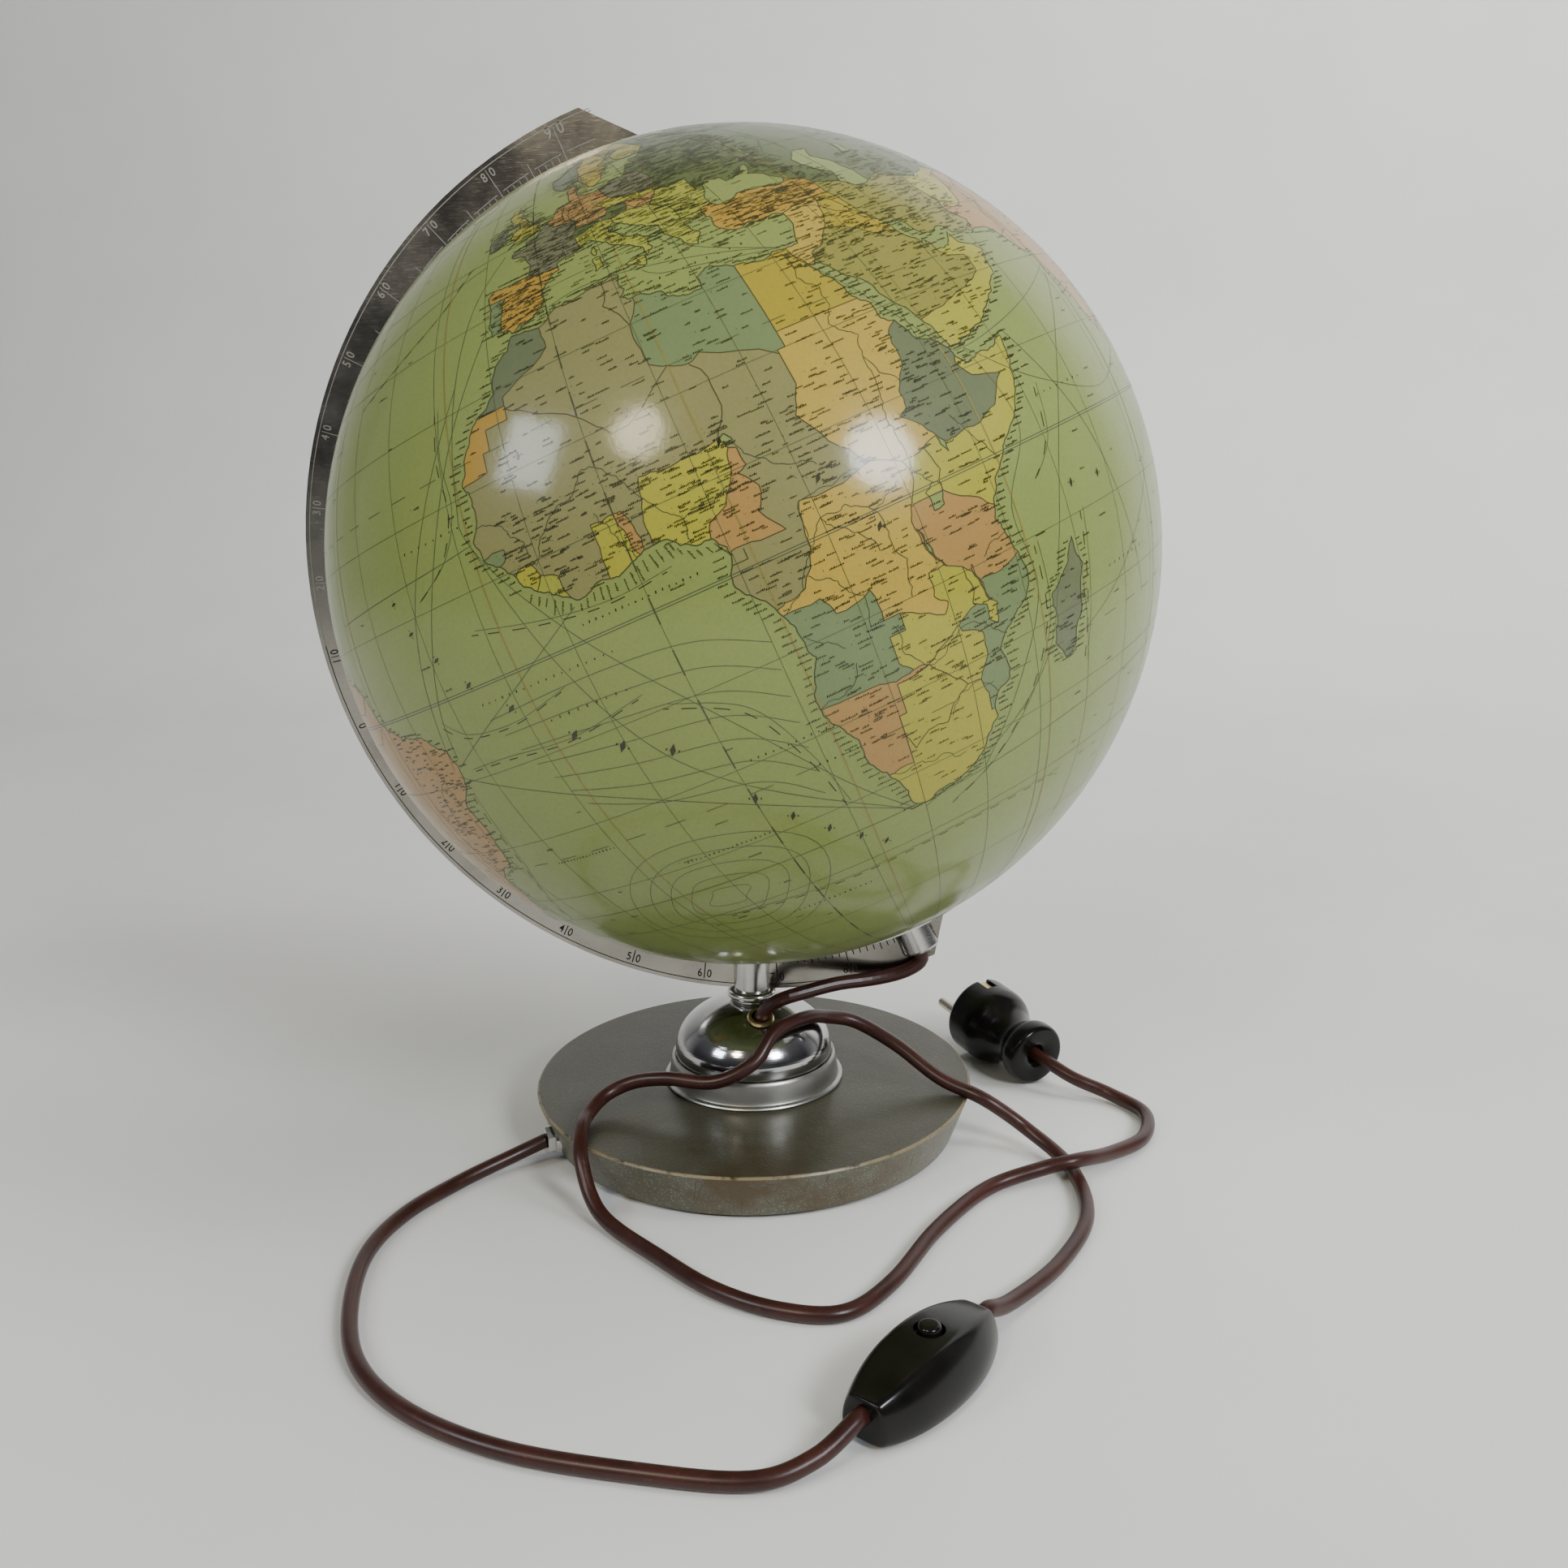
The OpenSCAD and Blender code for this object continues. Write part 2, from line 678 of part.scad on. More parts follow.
module plug_cap() color("dimgray") plug_place() difference() {
    rotate_extrude() polygon([
        [15, plug_split], [plug_r, plug_split], [plug_r, 13], [17.9, 15.4], [15.4, 18.8],
        [12.4, 22.4], [10.9, 26.5], [10.6, 30], [10.9, 33.5], [12, 36.8], [13.8, 39.6],
        [14.7, 41.8], [14.7, 43.8], [13.9, 45.7], [12.2, plug_l], [5, plug_l], [3.8, 44.4],
        [3, 41.5], [3, 28], [7.6, 18], [15, 12.4]
    ]);
    clip_slots();
    plug_screw_bore();
}

module plug_pins() color("silver") plug_place() plug_pin_places() {
    translate([0, 0, -pin_l]) cylinder(d1 = pin_d - 2.4, d2 = pin_d, h = 1.6);
    rod(pin_d, 1.6 - pin_l, plug_split - 1);
}

module earth_clips() color("goldenrod") plug_place() for (s = [-1, 1])
    translate([s * (clip_x + 0.4) - 0.4, -2, 0.6]) cube([0.8, 4, 12.4]);

module plug_screw() color("silver") plug_place() translate([-plug_screw_x, 0, 0]) {
    rod(6, 0.8, 3);
    rod(3, 3, 20);
}

felt_pad();
base_disc();
ballast_ring();
ballast_screws();
tie_rod();
tie_washer();
tie_nut();
gland_body();
gland_nut();
dome_skirt();
dome();
lead_bush();
stem();
stem_collar();
ring_screw();
meridian_ring();
north_pin();
thrust_washer();
socket_cap();
lamp_tube();
lamp_socket();
socket_shell();
socket_contact();
bulb_base();
bulb_glass();
lamp_wires();
inner_lead();
globe_glass();
map_skin();
north_bearing();
south_cover();
south_bush();
cord_base_to_switch();
cord_switch_to_plug();
switch_lower();
switch_upper();
switch_pin();
switch_rocker();
switch_screws();
switch_contacts();
plug_body();
plug_cap();
plug_pins();
earth_clips();
plug_screw();
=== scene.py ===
import math
import random

import bpy
import numpy as np
from mathutils import Matrix, Vector
from mathutils.geometry import delaunay_2d_cdt


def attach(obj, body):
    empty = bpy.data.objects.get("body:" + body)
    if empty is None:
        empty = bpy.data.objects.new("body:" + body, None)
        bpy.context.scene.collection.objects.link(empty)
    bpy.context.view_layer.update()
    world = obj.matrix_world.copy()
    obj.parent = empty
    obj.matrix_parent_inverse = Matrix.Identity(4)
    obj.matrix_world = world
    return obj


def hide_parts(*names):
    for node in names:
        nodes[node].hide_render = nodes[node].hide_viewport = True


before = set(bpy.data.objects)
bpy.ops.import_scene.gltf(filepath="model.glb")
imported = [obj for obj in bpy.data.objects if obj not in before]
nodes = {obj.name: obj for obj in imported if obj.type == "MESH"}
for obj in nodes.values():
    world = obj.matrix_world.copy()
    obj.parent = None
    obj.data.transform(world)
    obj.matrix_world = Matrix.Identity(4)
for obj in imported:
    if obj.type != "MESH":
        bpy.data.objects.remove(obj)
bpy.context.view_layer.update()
MM = 0.001

# ---------------------------------------------------------------- camera
cam_data = bpy.data.cameras.new("camera")
cam_data.sensor_width = 36.0
cam_data.lens = 34.55
cam_data.shift_x = 0.0077
cam_data.shift_y = -0.0502
cam = bpy.data.objects.new("camera", cam_data)
bpy.context.scene.collection.objects.link(cam)
cam.matrix_world = Matrix((
    (0.9940, -0.0065, 0.1091, 0.0807),
    (0.1084, 0.1829, -0.9771, -0.6296),
    (-0.0136, 0.9831, 0.1825, 0.3072),
    (0, 0, 0, 1)))
bpy.context.scene.camera = cam

# ---------------------------------------------------------------- cords
CORD_D = 0.006
CORD_A = [
    (-83.05, -50.9, 11), (-95, -58.5, 7.4), (-113, -75, 3.6), (-127, -102, 3.3),
    (-131, -132, 3.3), (-123, -168, 3.3), (-108, -198, 3.3), (-83, -220, 3.3),
    (-48, -234.5, 3.3), (-6, -240.5, 3.3), (28, -241.5, 3.6), (46, -233.5, 6.2),
    (57.75, -221.75, 11)]
CORD_B = [
    (99.25, -159.25, 11), (108, -146, 6.2), (127, -115, 3.3), (140, -80, 3.3),
    (137, -43, 3.6), (121, -22.5, 9.6), (102, -20, 22), (83, -11.5, 27.2),
    (64, -1, 37.3), (46, 4, 45.5), (34, -1, 49.6), (25, -13, 54),
    (13, -27.5, 53), (5, -38.5, 43.5), (-11, -43.5, 36.6), (-32, -40.5, 36),
    (-47, -38.5, 33), (-58, -43.5, 29), (-63, -56, 26), (-62.5, -69, 25.6),
    (-60, -82, 20.5), (-54, -92, 9), (-44, -103, 3.8), (-22, -123, 3.3),
    (2, -143, 3.3), (27, -154, 3.3), (50, -153.5, 3.3), (66, -133, 3.3),
    (82, -95, 3.3), (102, -63, 3.8), (124, -53, 8), (139, -49, 10.4),
    (154, -33, 6), (170, -13, 3.6), (174, 11, 3.4), (161, 27.5, 4.4), (145, 31.5, 9.6),
    (134, 38.2, 13.8), (125.6, 48.8, 15.3)]


def curve_at(a, b, c, d, t):
    """The point at t between b and c of a smooth curve through four points."""
    return 0.5 * (2 * b + (c - a) * t + (2 * a - 5 * b + 4 * c - d) * t * t
                  + (3 * b - a - 3 * c + d) * t ** 3)


def smooth_route(pts, steps):
    """A curve through pts, as the CAD tube's own rule makes it."""
    p = [Vector(q) * MM for q in pts]
    p = [p[0]] + p + [p[-1]]
    out = []
    for i in range(1, len(p) - 2):
        a, b, c, d = p[i - 1:i + 3]
        out += [curve_at(a, b, c, d, k / steps) for k in range(steps)]
    return out + [p[-2]]


def new_mesh(name, verts, faces, smooth=True):
    me = bpy.data.meshes.new(name)
    me.from_pydata([tuple(v) for v in verts], [], [tuple(f) for f in faces])
    me.update()
    if smooth:
        me.shade_smooth()
    ob = bpy.data.objects.new(name, me)
    bpy.context.scene.collection.objects.link(ob)
    return ob


def skin(rows, sides, closed=False):
    """Quads between rows of points, each row a ring; closed joins the last row to the first."""
    faces = []
    for i in range(rows if closed else rows - 1):
        a, b = i * sides, (i + 1) % rows * sides
        faces += [(a + k, a + (k + 1) % sides, b + (k + 1) % sides, b + k) for k in range(sides)]
    return faces


def ends(rows, sides):
    """The two flat faces that close a row of rings."""
    return [tuple(range(sides))[::-1], tuple(range((rows - 1) * sides, rows * sides))]


def tube(name, pts, radius, sides=20):
    """A round tube along pts with closed ends, its rings turned as little as possible."""
    verts = []
    side = None
    for i, p in enumerate(pts):
        t = (pts[min(i + 1, len(pts) - 1)] - pts[max(i - 1, 0)]).normalized()
        side = (side - t * side.dot(t) if side else t.cross(Vector((0, 0, 1)))).normalized()
        other = t.cross(side)
        verts += [p + (side * math.cos(a) + other * math.sin(a)) * radius
                  for a in (2 * math.pi * k / sides for k in range(sides))]
    return new_mesh(name, verts, skin(len(pts), sides) + ends(len(pts), sides))


# the in-line switch's own axes: x along the cord, z up, origin on the floor under its middle
SW_C = Vector((78.5, -190.5, 0)) * MM
SW_A = math.radians(56.4)
SW_X = Vector((math.cos(SW_A), math.sin(SW_A), 0))
SW_Y = Vector((-math.sin(SW_A), math.cos(SW_A), 0))


def switch_point(x, y, z):
    return SW_C + SW_X * (x * MM) + SW_Y * (y * MM) + Vector((0, 0, z * MM))


def place(ob, body, slot, *replaced):
    """Says which body a piece moves with and the nodes it stands for, which it hides; the slot argument is
    not used.
    """
    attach(ob, body)
    if replaced:
        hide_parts(*replaced)
    return ob


def cord_piece(name, pts, node):
    return place(tube(name, pts, CORD_D / 2), "stand", "cord", node)


# each flex runs on a little way inside the switch's snout
CORD_STEPS = 8
SNOUT_Z = 11
pts_a = smooth_route(CORD_A, CORD_STEPS) + [switch_point(-32.0, 0, SNOUT_Z)]
pts_b = [switch_point(29.5, 0, SNOUT_Z)] + smooth_route(CORD_B, CORD_STEPS)
cord_a = cord_piece("cord_gland_to_switch", pts_a, "cord_base_to_switch")
cord_b = cord_piece("cord_switch_to_plug_flex", pts_b, "cord_switch_to_plug")


# ---------------------------------------------------------------- stage and light
def stage_sheet():
    """Floor that curves up into a back wall."""
    prof = [(-2.6, 0.0), (0.9, 0.0)]
    prof += [(0.9 + 0.5 * math.sin(a), 0.5 - 0.5 * math.cos(a)) for a in np.linspace(0.08, math.pi / 2, 16)]
    prof += [(1.4, 3.2)]
    verts = [(x, y, z) for y, z in prof for x in (-3.2, 3.2)]
    faces = [(2 * i, 2 * i + 1, 2 * i + 3, 2 * i + 2) for i in range(len(prof) - 1)]
    return new_mesh("floor", verts, faces)


def area_light(name, pos, aim, size, power, colour, shape="SQUARE", mirrored=True, spread=180):
    d = bpy.data.lights.new(name, "AREA")
    d.shape, d.size, d.energy, d.color = shape, size, power, colour
    d.spread = math.radians(spread)
    ob = bpy.data.objects.new(name, d)
    bpy.context.scene.collection.objects.link(ob)
    ob.location = pos
    ob.rotation_euler = (Vector(aim) - Vector(pos)).to_track_quat("-Z", "Y").to_euler()
    ob.visible_glossy = mirrored
    return ob


AIM = (0, 0, 0.2)
area_light("window_left", (-1.15, -0.96, 0.93), AIM, 0.40, 8, (0.86, 0.93, 1.0))
area_light("lamp_warm", (-0.51, -1.30, 1.15), AIM, 0.34, 8, (1.0, 0.90, 0.68), "DISK")
area_light("window_right", (1.01, -1.09, 0.98), AIM, 0.46, 19, (0.94, 0.97, 1.0), "DISK")
area_light("ceiling", (0.9, 0.3, 2.5), (0.3, 0.3, 0.2), 2.0, 26.5, (1.0, 0.99, 0.96), mirrored=False)
area_light("wall_fill", (2.1, -0.3, 1.7), (0.3, 1.5, 1.0), 1.2, 34, (1.0, 1.0, 1.0),
           mirrored=False, spread=110)
world = bpy.data.worlds.new("studio")
bpy.context.scene.world = world
world.use_nodes = True
sky = world.node_tree
sky_pos = sky.nodes.new("ShaderNodeTexCoord").outputs["Generated"]
sky_sep = sky.nodes.new("ShaderNodeSeparateXYZ")
sky.links.new(sky_pos, sky_sep.inputs[0])
sky_ramp = sky.nodes.new("ShaderNodeValToRGB")
sky.links.new(sky_sep.outputs["Y"], sky_ramp.inputs[0])
# the room behind the camera is dimmer than the pale sweep behind the globe
SKY_STOPS = ((0.0, (0.05, 0.05, 0.055, 1)), (0.45, (0.60, 0.60, 0.61, 1)))
for el, (pos, col) in zip(sky_ramp.color_ramp.elements, SKY_STOPS):
    el.position = pos
    el.color = col
sky_up = sky.nodes.new("ShaderNodeMapRange")
sky_up.inputs["From Min"].default_value = 0.15
sky_up.inputs["From Max"].default_value = 0.75
sky.links.new(sky_sep.outputs["Z"], sky_up.inputs["Value"])
sky_mix = sky.nodes.new("ShaderNodeMix")
sky_mix.data_type = "RGBA"
sky.links.new(sky_up.outputs[0], sky_mix.inputs[0])
sky.links.new(sky_ramp.outputs[0], sky_mix.inputs[6])
sky_mix.inputs[7].default_value = (0.19, 0.19, 0.20, 1)
sky.links.new(sky_mix.outputs[2], sky.nodes["Background"].inputs["Color"])
sky.nodes["Background"].inputs["Strength"].default_value = 0.75


# ---------------------------------------------------------------- materials
class Mat:
    """A node material: helpers that return output sockets."""

    def __init__(self, name, **values):
        self.m = bpy.data.materials.new(name)
        self.m.use_nodes = True
        self.nt = self.m.node_tree
        self.b = self.nt.nodes["Principled BSDF"]
        self.obj = self.add("ShaderNodeTexCoord").outputs["Object"]
        for k, v in values.items():
            self.b.inputs[k.replace("_", " ")].default_value = v

    def add(self, kind, **ins):
        n = self.nt.nodes.new(kind)
        for k, v in ins.items():
            self.feed(n.inputs[k.replace("_", " ")], v)
        return n

    def feed(self, sock, v):
        """Links a socket or sets a value."""
        if isinstance(v, bpy.types.NodeSocket):
            self.nt.links.new(v, sock)
        else:
            sock.default_value = v

    def noise(self, scale, detail=4.0, rough=0.55, vec=None):
        n = self.add("ShaderNodeTexNoise", Scale=scale, Detail=detail, Roughness=rough,
                     Vector=vec or self.obj)
        return n.outputs["Fac"]

    def voronoi(self, scale, feature="F1", out="Distance", vec=None):
        n = self.add("ShaderNodeTexVoronoi", Scale=scale, Vector=vec or self.obj)
        n.feature = feature
        return n.outputs[out]

    def ramp(self, fac, *stops):
        n = self.add("ShaderNodeValToRGB", Fac=fac)
        els = n.color_ramp.elements
        while len(els) < len(stops):
            els.new(0.5)
        for e, (pos, col) in zip(els, stops):
            e.position = pos
            e.color = (*col, 1) if isinstance(col, (tuple, list)) else (col, col, col, 1)
        return n.outputs["Color"]

    def mix(self, fac, a, b, kind="MIX"):
        n = self.nt.nodes.new("ShaderNodeMix")
        n.data_type, n.blend_type = "RGBA", kind
        for i, v in ((0, fac), (6, a), (7, b)):
            self.feed(n.inputs[i], (*v, 1) if isinstance(v, tuple) else v)
        return n.outputs[2]

    def math(self, op, a, b=0.0, c=0.0):
        n = self.nt.nodes.new("ShaderNodeMath")
        n.operation = op
        for sock, v in zip(n.inputs, (a, b, c)):
            self.feed(sock, v)
        return n.outputs[0]

    def xyz(self):
        return self.add("ShaderNodeSeparateXYZ", Vector=self.obj).outputs

    def attribute(self, name):
        n = self.nt.nodes.new("ShaderNodeAttribute")
        n.attribute_name = name
        return n.outputs["Color"]

    def bump(self, height, strength, distance=MM):
        self.to(self.add("ShaderNodeBump", Height=height, Strength=strength,
                         Distance=distance).outputs["Normal"], "Normal")

    def to(self, socket, name):
        self.nt.links.new(socket, self.b.inputs[name])


def paint(node_names, material):
    for n in node_names:
        o = nodes[n] if isinstance(n, str) else n
        o.data.materials.clear()
        o.data.materials.append(material.m)


# polished, slightly worn nickel or chrome
def bright_metal(name, tint, rough, scratch=0.5, dirt=(0.16, 0.13, 0.09)):
    m = Mat(name, Metallic=1.0)
    fine = m.noise(420, 3, 0.7)
    long_n = m.add("ShaderNodeMapping", Vector=m.obj, Scale=(40, 40, 900)).outputs[0]
    lines = m.noise(6, 2, 0.5, long_n)
    cloud = m.noise(28, 5, 0.62)
    col = m.mix(m.ramp(cloud, (0.52, 0), (0.80, 0.42)), tint, dirt)
    m.to(m.mix(m.ramp(fine, (0.60, 0), (0.78, 0.22)), col, dirt), "Base Color")
    r = m.math("MULTIPLY_ADD", m.ramp(cloud, (0.35, 0), (0.75, 1)), 0.14, rough)
    m.to(m.math("MULTIPLY_ADD", m.ramp(lines, (0.55, 0), (0.70, 1)), 0.08 * scratch, r), "Roughness")
    m.bump(fine, 0.05 * scratch, 0.1 * MM)
    return m


chrome = bright_metal("worn_chrome", (0.62, 0.61, 0.585), 0.16)
chrome_dome = bright_metal("dome_nickel", (0.50, 0.50, 0.50), 0.08, 0.7)
band_metal = bright_metal("satin_band", (0.46, 0.455, 0.43), 0.30)
nickel = bright_metal("nickel_plate", (0.50, 0.475, 0.425), 0.14, 0.8)
# painted reflection: the half ring's base colour is darkened over its lower middle, where it mirrors the dim
# room in front
height = nickel.math("MULTIPLY", nickel.xyz()[2], 2.5)
nickel.to(nickel.mix(nickel.ramp(height, (0.10, 0), (0.30, 0.5), (0.42, 0.5), (0.60, 0)),
                     nickel.b.inputs["Base Color"].links[0].from_socket, (0.13, 0.125, 0.11)), "Base Color")
steel = bright_metal("zinc_steel", (0.50, 0.50, 0.50), 0.30)
pins_metal = bright_metal("pin_metal", (0.62, 0.58, 0.50), 0.22)
brass = bright_metal("brass", (0.74, 0.58, 0.30), 0.24, 0.5, (0.22, 0.14, 0.05))


BASE_TOP_Z = 20.9 * MM


def base_lacquer():
    """Bronze-grey hammered lacquer on turned wood: fine cracks down the side, a rubbed rim that also carries
    a painted highlight.
    """
    m = Mat("base_lacquer", Coat_Weight=0.16, Coat_Roughness=0.18, Specular_IOR_Level=0.30)
    x, y, z = m.xyz()
    cell = m.voronoi(760)
    cloud = m.noise(22, 6, 0.62)
    blot = m.noise(70, 5, 0.6)
    base = m.mix(m.ramp(cloud, (0.35, 0), (0.68, 1)), (0.080, 0.079, 0.054), (0.126, 0.124, 0.092))
    base = m.mix(m.ramp(blot, (0.50, 0), (0.72, 0.7)), base, (0.150, 0.140, 0.098))
    base = m.mix(m.ramp(cell, (0.08, 0.75), (0.36, 0)), base, (0.30, 0.275, 0.205))
    # the front of the top turns darker and browner, in noisy patches
    front = m.math("MULTIPLY", m.ramp(m.math("MULTIPLY_ADD", y, -9.0, 0.05), (0.35, 0), (0.95, 1)),
                   m.ramp(m.noise(34, 5, 0.65), (0.44, 0), (0.62, 1)))
    base = m.mix(m.math("MULTIPLY", front, 0.95), base, (0.078, 0.050, 0.020))
    # painted shade: the top face is darkened more than the side
    top = m.math("GREATER_THAN", z, BASE_TOP_Z)
    base = m.mix(m.math("MULTIPLY", top, 0.70), base, (0.018, 0.016, 0.008))
    # rubbed golden line along the top edge, partly wear and partly a painted highlight on the edge
    r = m.math("SQRT", m.math("ADD", m.math("MULTIPLY", x, x), m.math("MULTIPLY", y, y)))
    rim = m.ramp(m.math("MULTIPLY_ADD", r, 700.0, -66.6), (0.0, 0), (0.30, 1), (1.0, 1))
    high = m.ramp(m.math("MULTIPLY_ADD", z, 600.0, -12.1), (0.0, 0), (0.45, 1))
    patchy = m.ramp(m.noise(150, 4, 0.7), (0.34, 0), (0.50, 1))
    wear_and_highlight = m.math("MULTIPLY", m.math("MULTIPLY", rim, high), patchy)
    base = m.mix(m.math("MULTIPLY", wear_and_highlight, 0.60), base, (0.30, 0.24, 0.14))
    # hairline cracks running down the side
    ang = m.math("ARCTAN2", y, x)
    tall = m.add("ShaderNodeCombineXYZ", X=m.math("MULTIPLY", ang, 9.0),
                 Y=m.math("MULTIPLY", z, 24.0)).outputs[0]
    crack = m.ramp(m.voronoi(2.6, "DISTANCE_TO_EDGE", "Distance", tall), (0.0, 1), (0.020, 0))
    low = m.ramp(m.math("MULTIPLY", z, 50.0), (0.96, 1), (1.0, 0))
    some = m.ramp(m.noise(45, 3, 0.5), (0.46, 0), (0.56, 1))
    crack = m.math("MULTIPLY", crack, m.math("MULTIPLY", low, some))
    base = m.mix(m.math("MULTIPLY", crack, 0.8), base, (0.025, 0.018, 0.010))
    m.to(base, "Base Color")
    m.to(m.math("MULTIPLY_ADD", blot, 0.25, 0.24), "Roughness")
    h = m.math("MULTIPLY_ADD", cell, -0.35, m.math("MULTIPLY_ADD", crack, -0.6, blot))
    m.bump(h, 0.45, 0.30 * MM)
    return m


def bakelite():
    m = Mat("bakelite", Coat_Weight=0.16, Coat_Roughness=0.12, Specular_IOR_Level=0.22)
    cloud = m.noise(60, 5, 0.6)
    dust = m.noise(700, 3, 0.7)
    col = m.mix(m.ramp(cloud, (0.4, 0), (0.75, 1)), (0.0030, 0.0028, 0.0027), (0.0075, 0.0065, 0.0055))
    m.to(m.mix(m.ramp(dust, (0.70, 0), (0.84, 0.25)), col, (0.07, 0.06, 0.05)), "Base Color")
    m.to(m.math("MULTIPLY_ADD", cloud, 0.16, 0.14), "Roughness")
    m.bump(dust, 0.03, 0.1 * MM)
    return m


def pvc():
    m = Mat("cord_pvc", Coat_Weight=0.15, Coat_Roughness=0.30, Specular_IOR_Level=0.35)
    cloud = m.noise(55, 5, 0.6)
    dust = m.noise(900, 3, 0.7)
    col = m.mix(m.ramp(cloud, (0.38, 0), (0.70, 1)), (0.024, 0.0064, 0.0050), (0.046, 0.0125, 0.0090))
    m.to(m.mix(m.ramp(dust, (0.62, 0), (0.80, 0.6)), col, (0.16, 0.09, 0.07)), "Base Color")
    m.to(m.math("MULTIPLY_ADD", cloud, 0.22, 0.26), "Roughness")
    m.bump(m.noise(260, 3, 0.6), 0.12, 0.2 * MM)
    return m


def plain(name, low, high, rough, scale=120, bump=0.15, **values):
    m = Mat(name, **values)
    cloud = m.noise(scale, 5, 0.6)
    m.to(m.mix(m.ramp(cloud, (0.35, 0), (0.70, 1)), low, high), "Base Color")
    m.to(m.math("MULTIPLY_ADD", cloud, 0.2, rough), "Roughness")
    m.bump(m.noise(scale * 5, 3, 0.6), bump, 0.2 * MM)
    return m


felt = plain("felt", (0.020, 0.030, 0.015), (0.045, 0.060, 0.030), 0.85, 900, 0.9)
iron = plain("cast_iron", (0.030, 0.030, 0.032), (0.070, 0.068, 0.066), 0.55, 200, 0.6)
nylon = plain("nylon", (0.62, 0.59, 0.50), (0.74, 0.71, 0.62), 0.40, 90, 0.1)
opal = plain("opal_glass", (0.80, 0.79, 0.74), (0.88, 0.87, 0.83), 0.12, 50, 0.02, Coat_Weight=0.5)
floor_mat = plain("pale_floor", (0.655, 0.655, 0.645), (0.685, 0.685, 0.675), 0.75, 6, 0.02,
                  Specular_IOR_Level=0.2)
black = bakelite()
flex = pvc()

floor = stage_sheet()
paint([floor], floor_mat)
paint([cord_a, cord_b, "inner_lead", "lamp_wires", "cord_base_to_switch", "cord_switch_to_plug"], flex)
paint(["base_disc"], base_lacquer())
paint(["felt_pad"], felt)
paint(["ballast_ring"], iron)
paint(["ballast_screws", "tie_rod", "tie_washer", "tie_nut", "switch_pin", "switch_screws",
       "plug_screw"], steel)
paint(["dome", "dome_skirt"], chrome_dome)
paint(["gland_body", "gland_nut", "stem", "stem_collar", "ring_screw", "north_pin", "socket_cap",
       "lamp_tube", "bulb_base", "south_cover"], chrome)
paint(["meridian_ring"], nickel)
paint(["lead_bush", "thrust_washer", "socket_shell", "socket_contact", "north_bearing",
       "switch_contacts", "earth_clips"], brass)
paint(["plug_pins"], pins_metal)
paint(["switch_lower", "switch_upper", "switch_rocker", "plug_body", "plug_cap", "lamp_socket"], black)
paint(["globe_glass", "bulb_glass"], opal)
paint(["south_bush"], nylon)

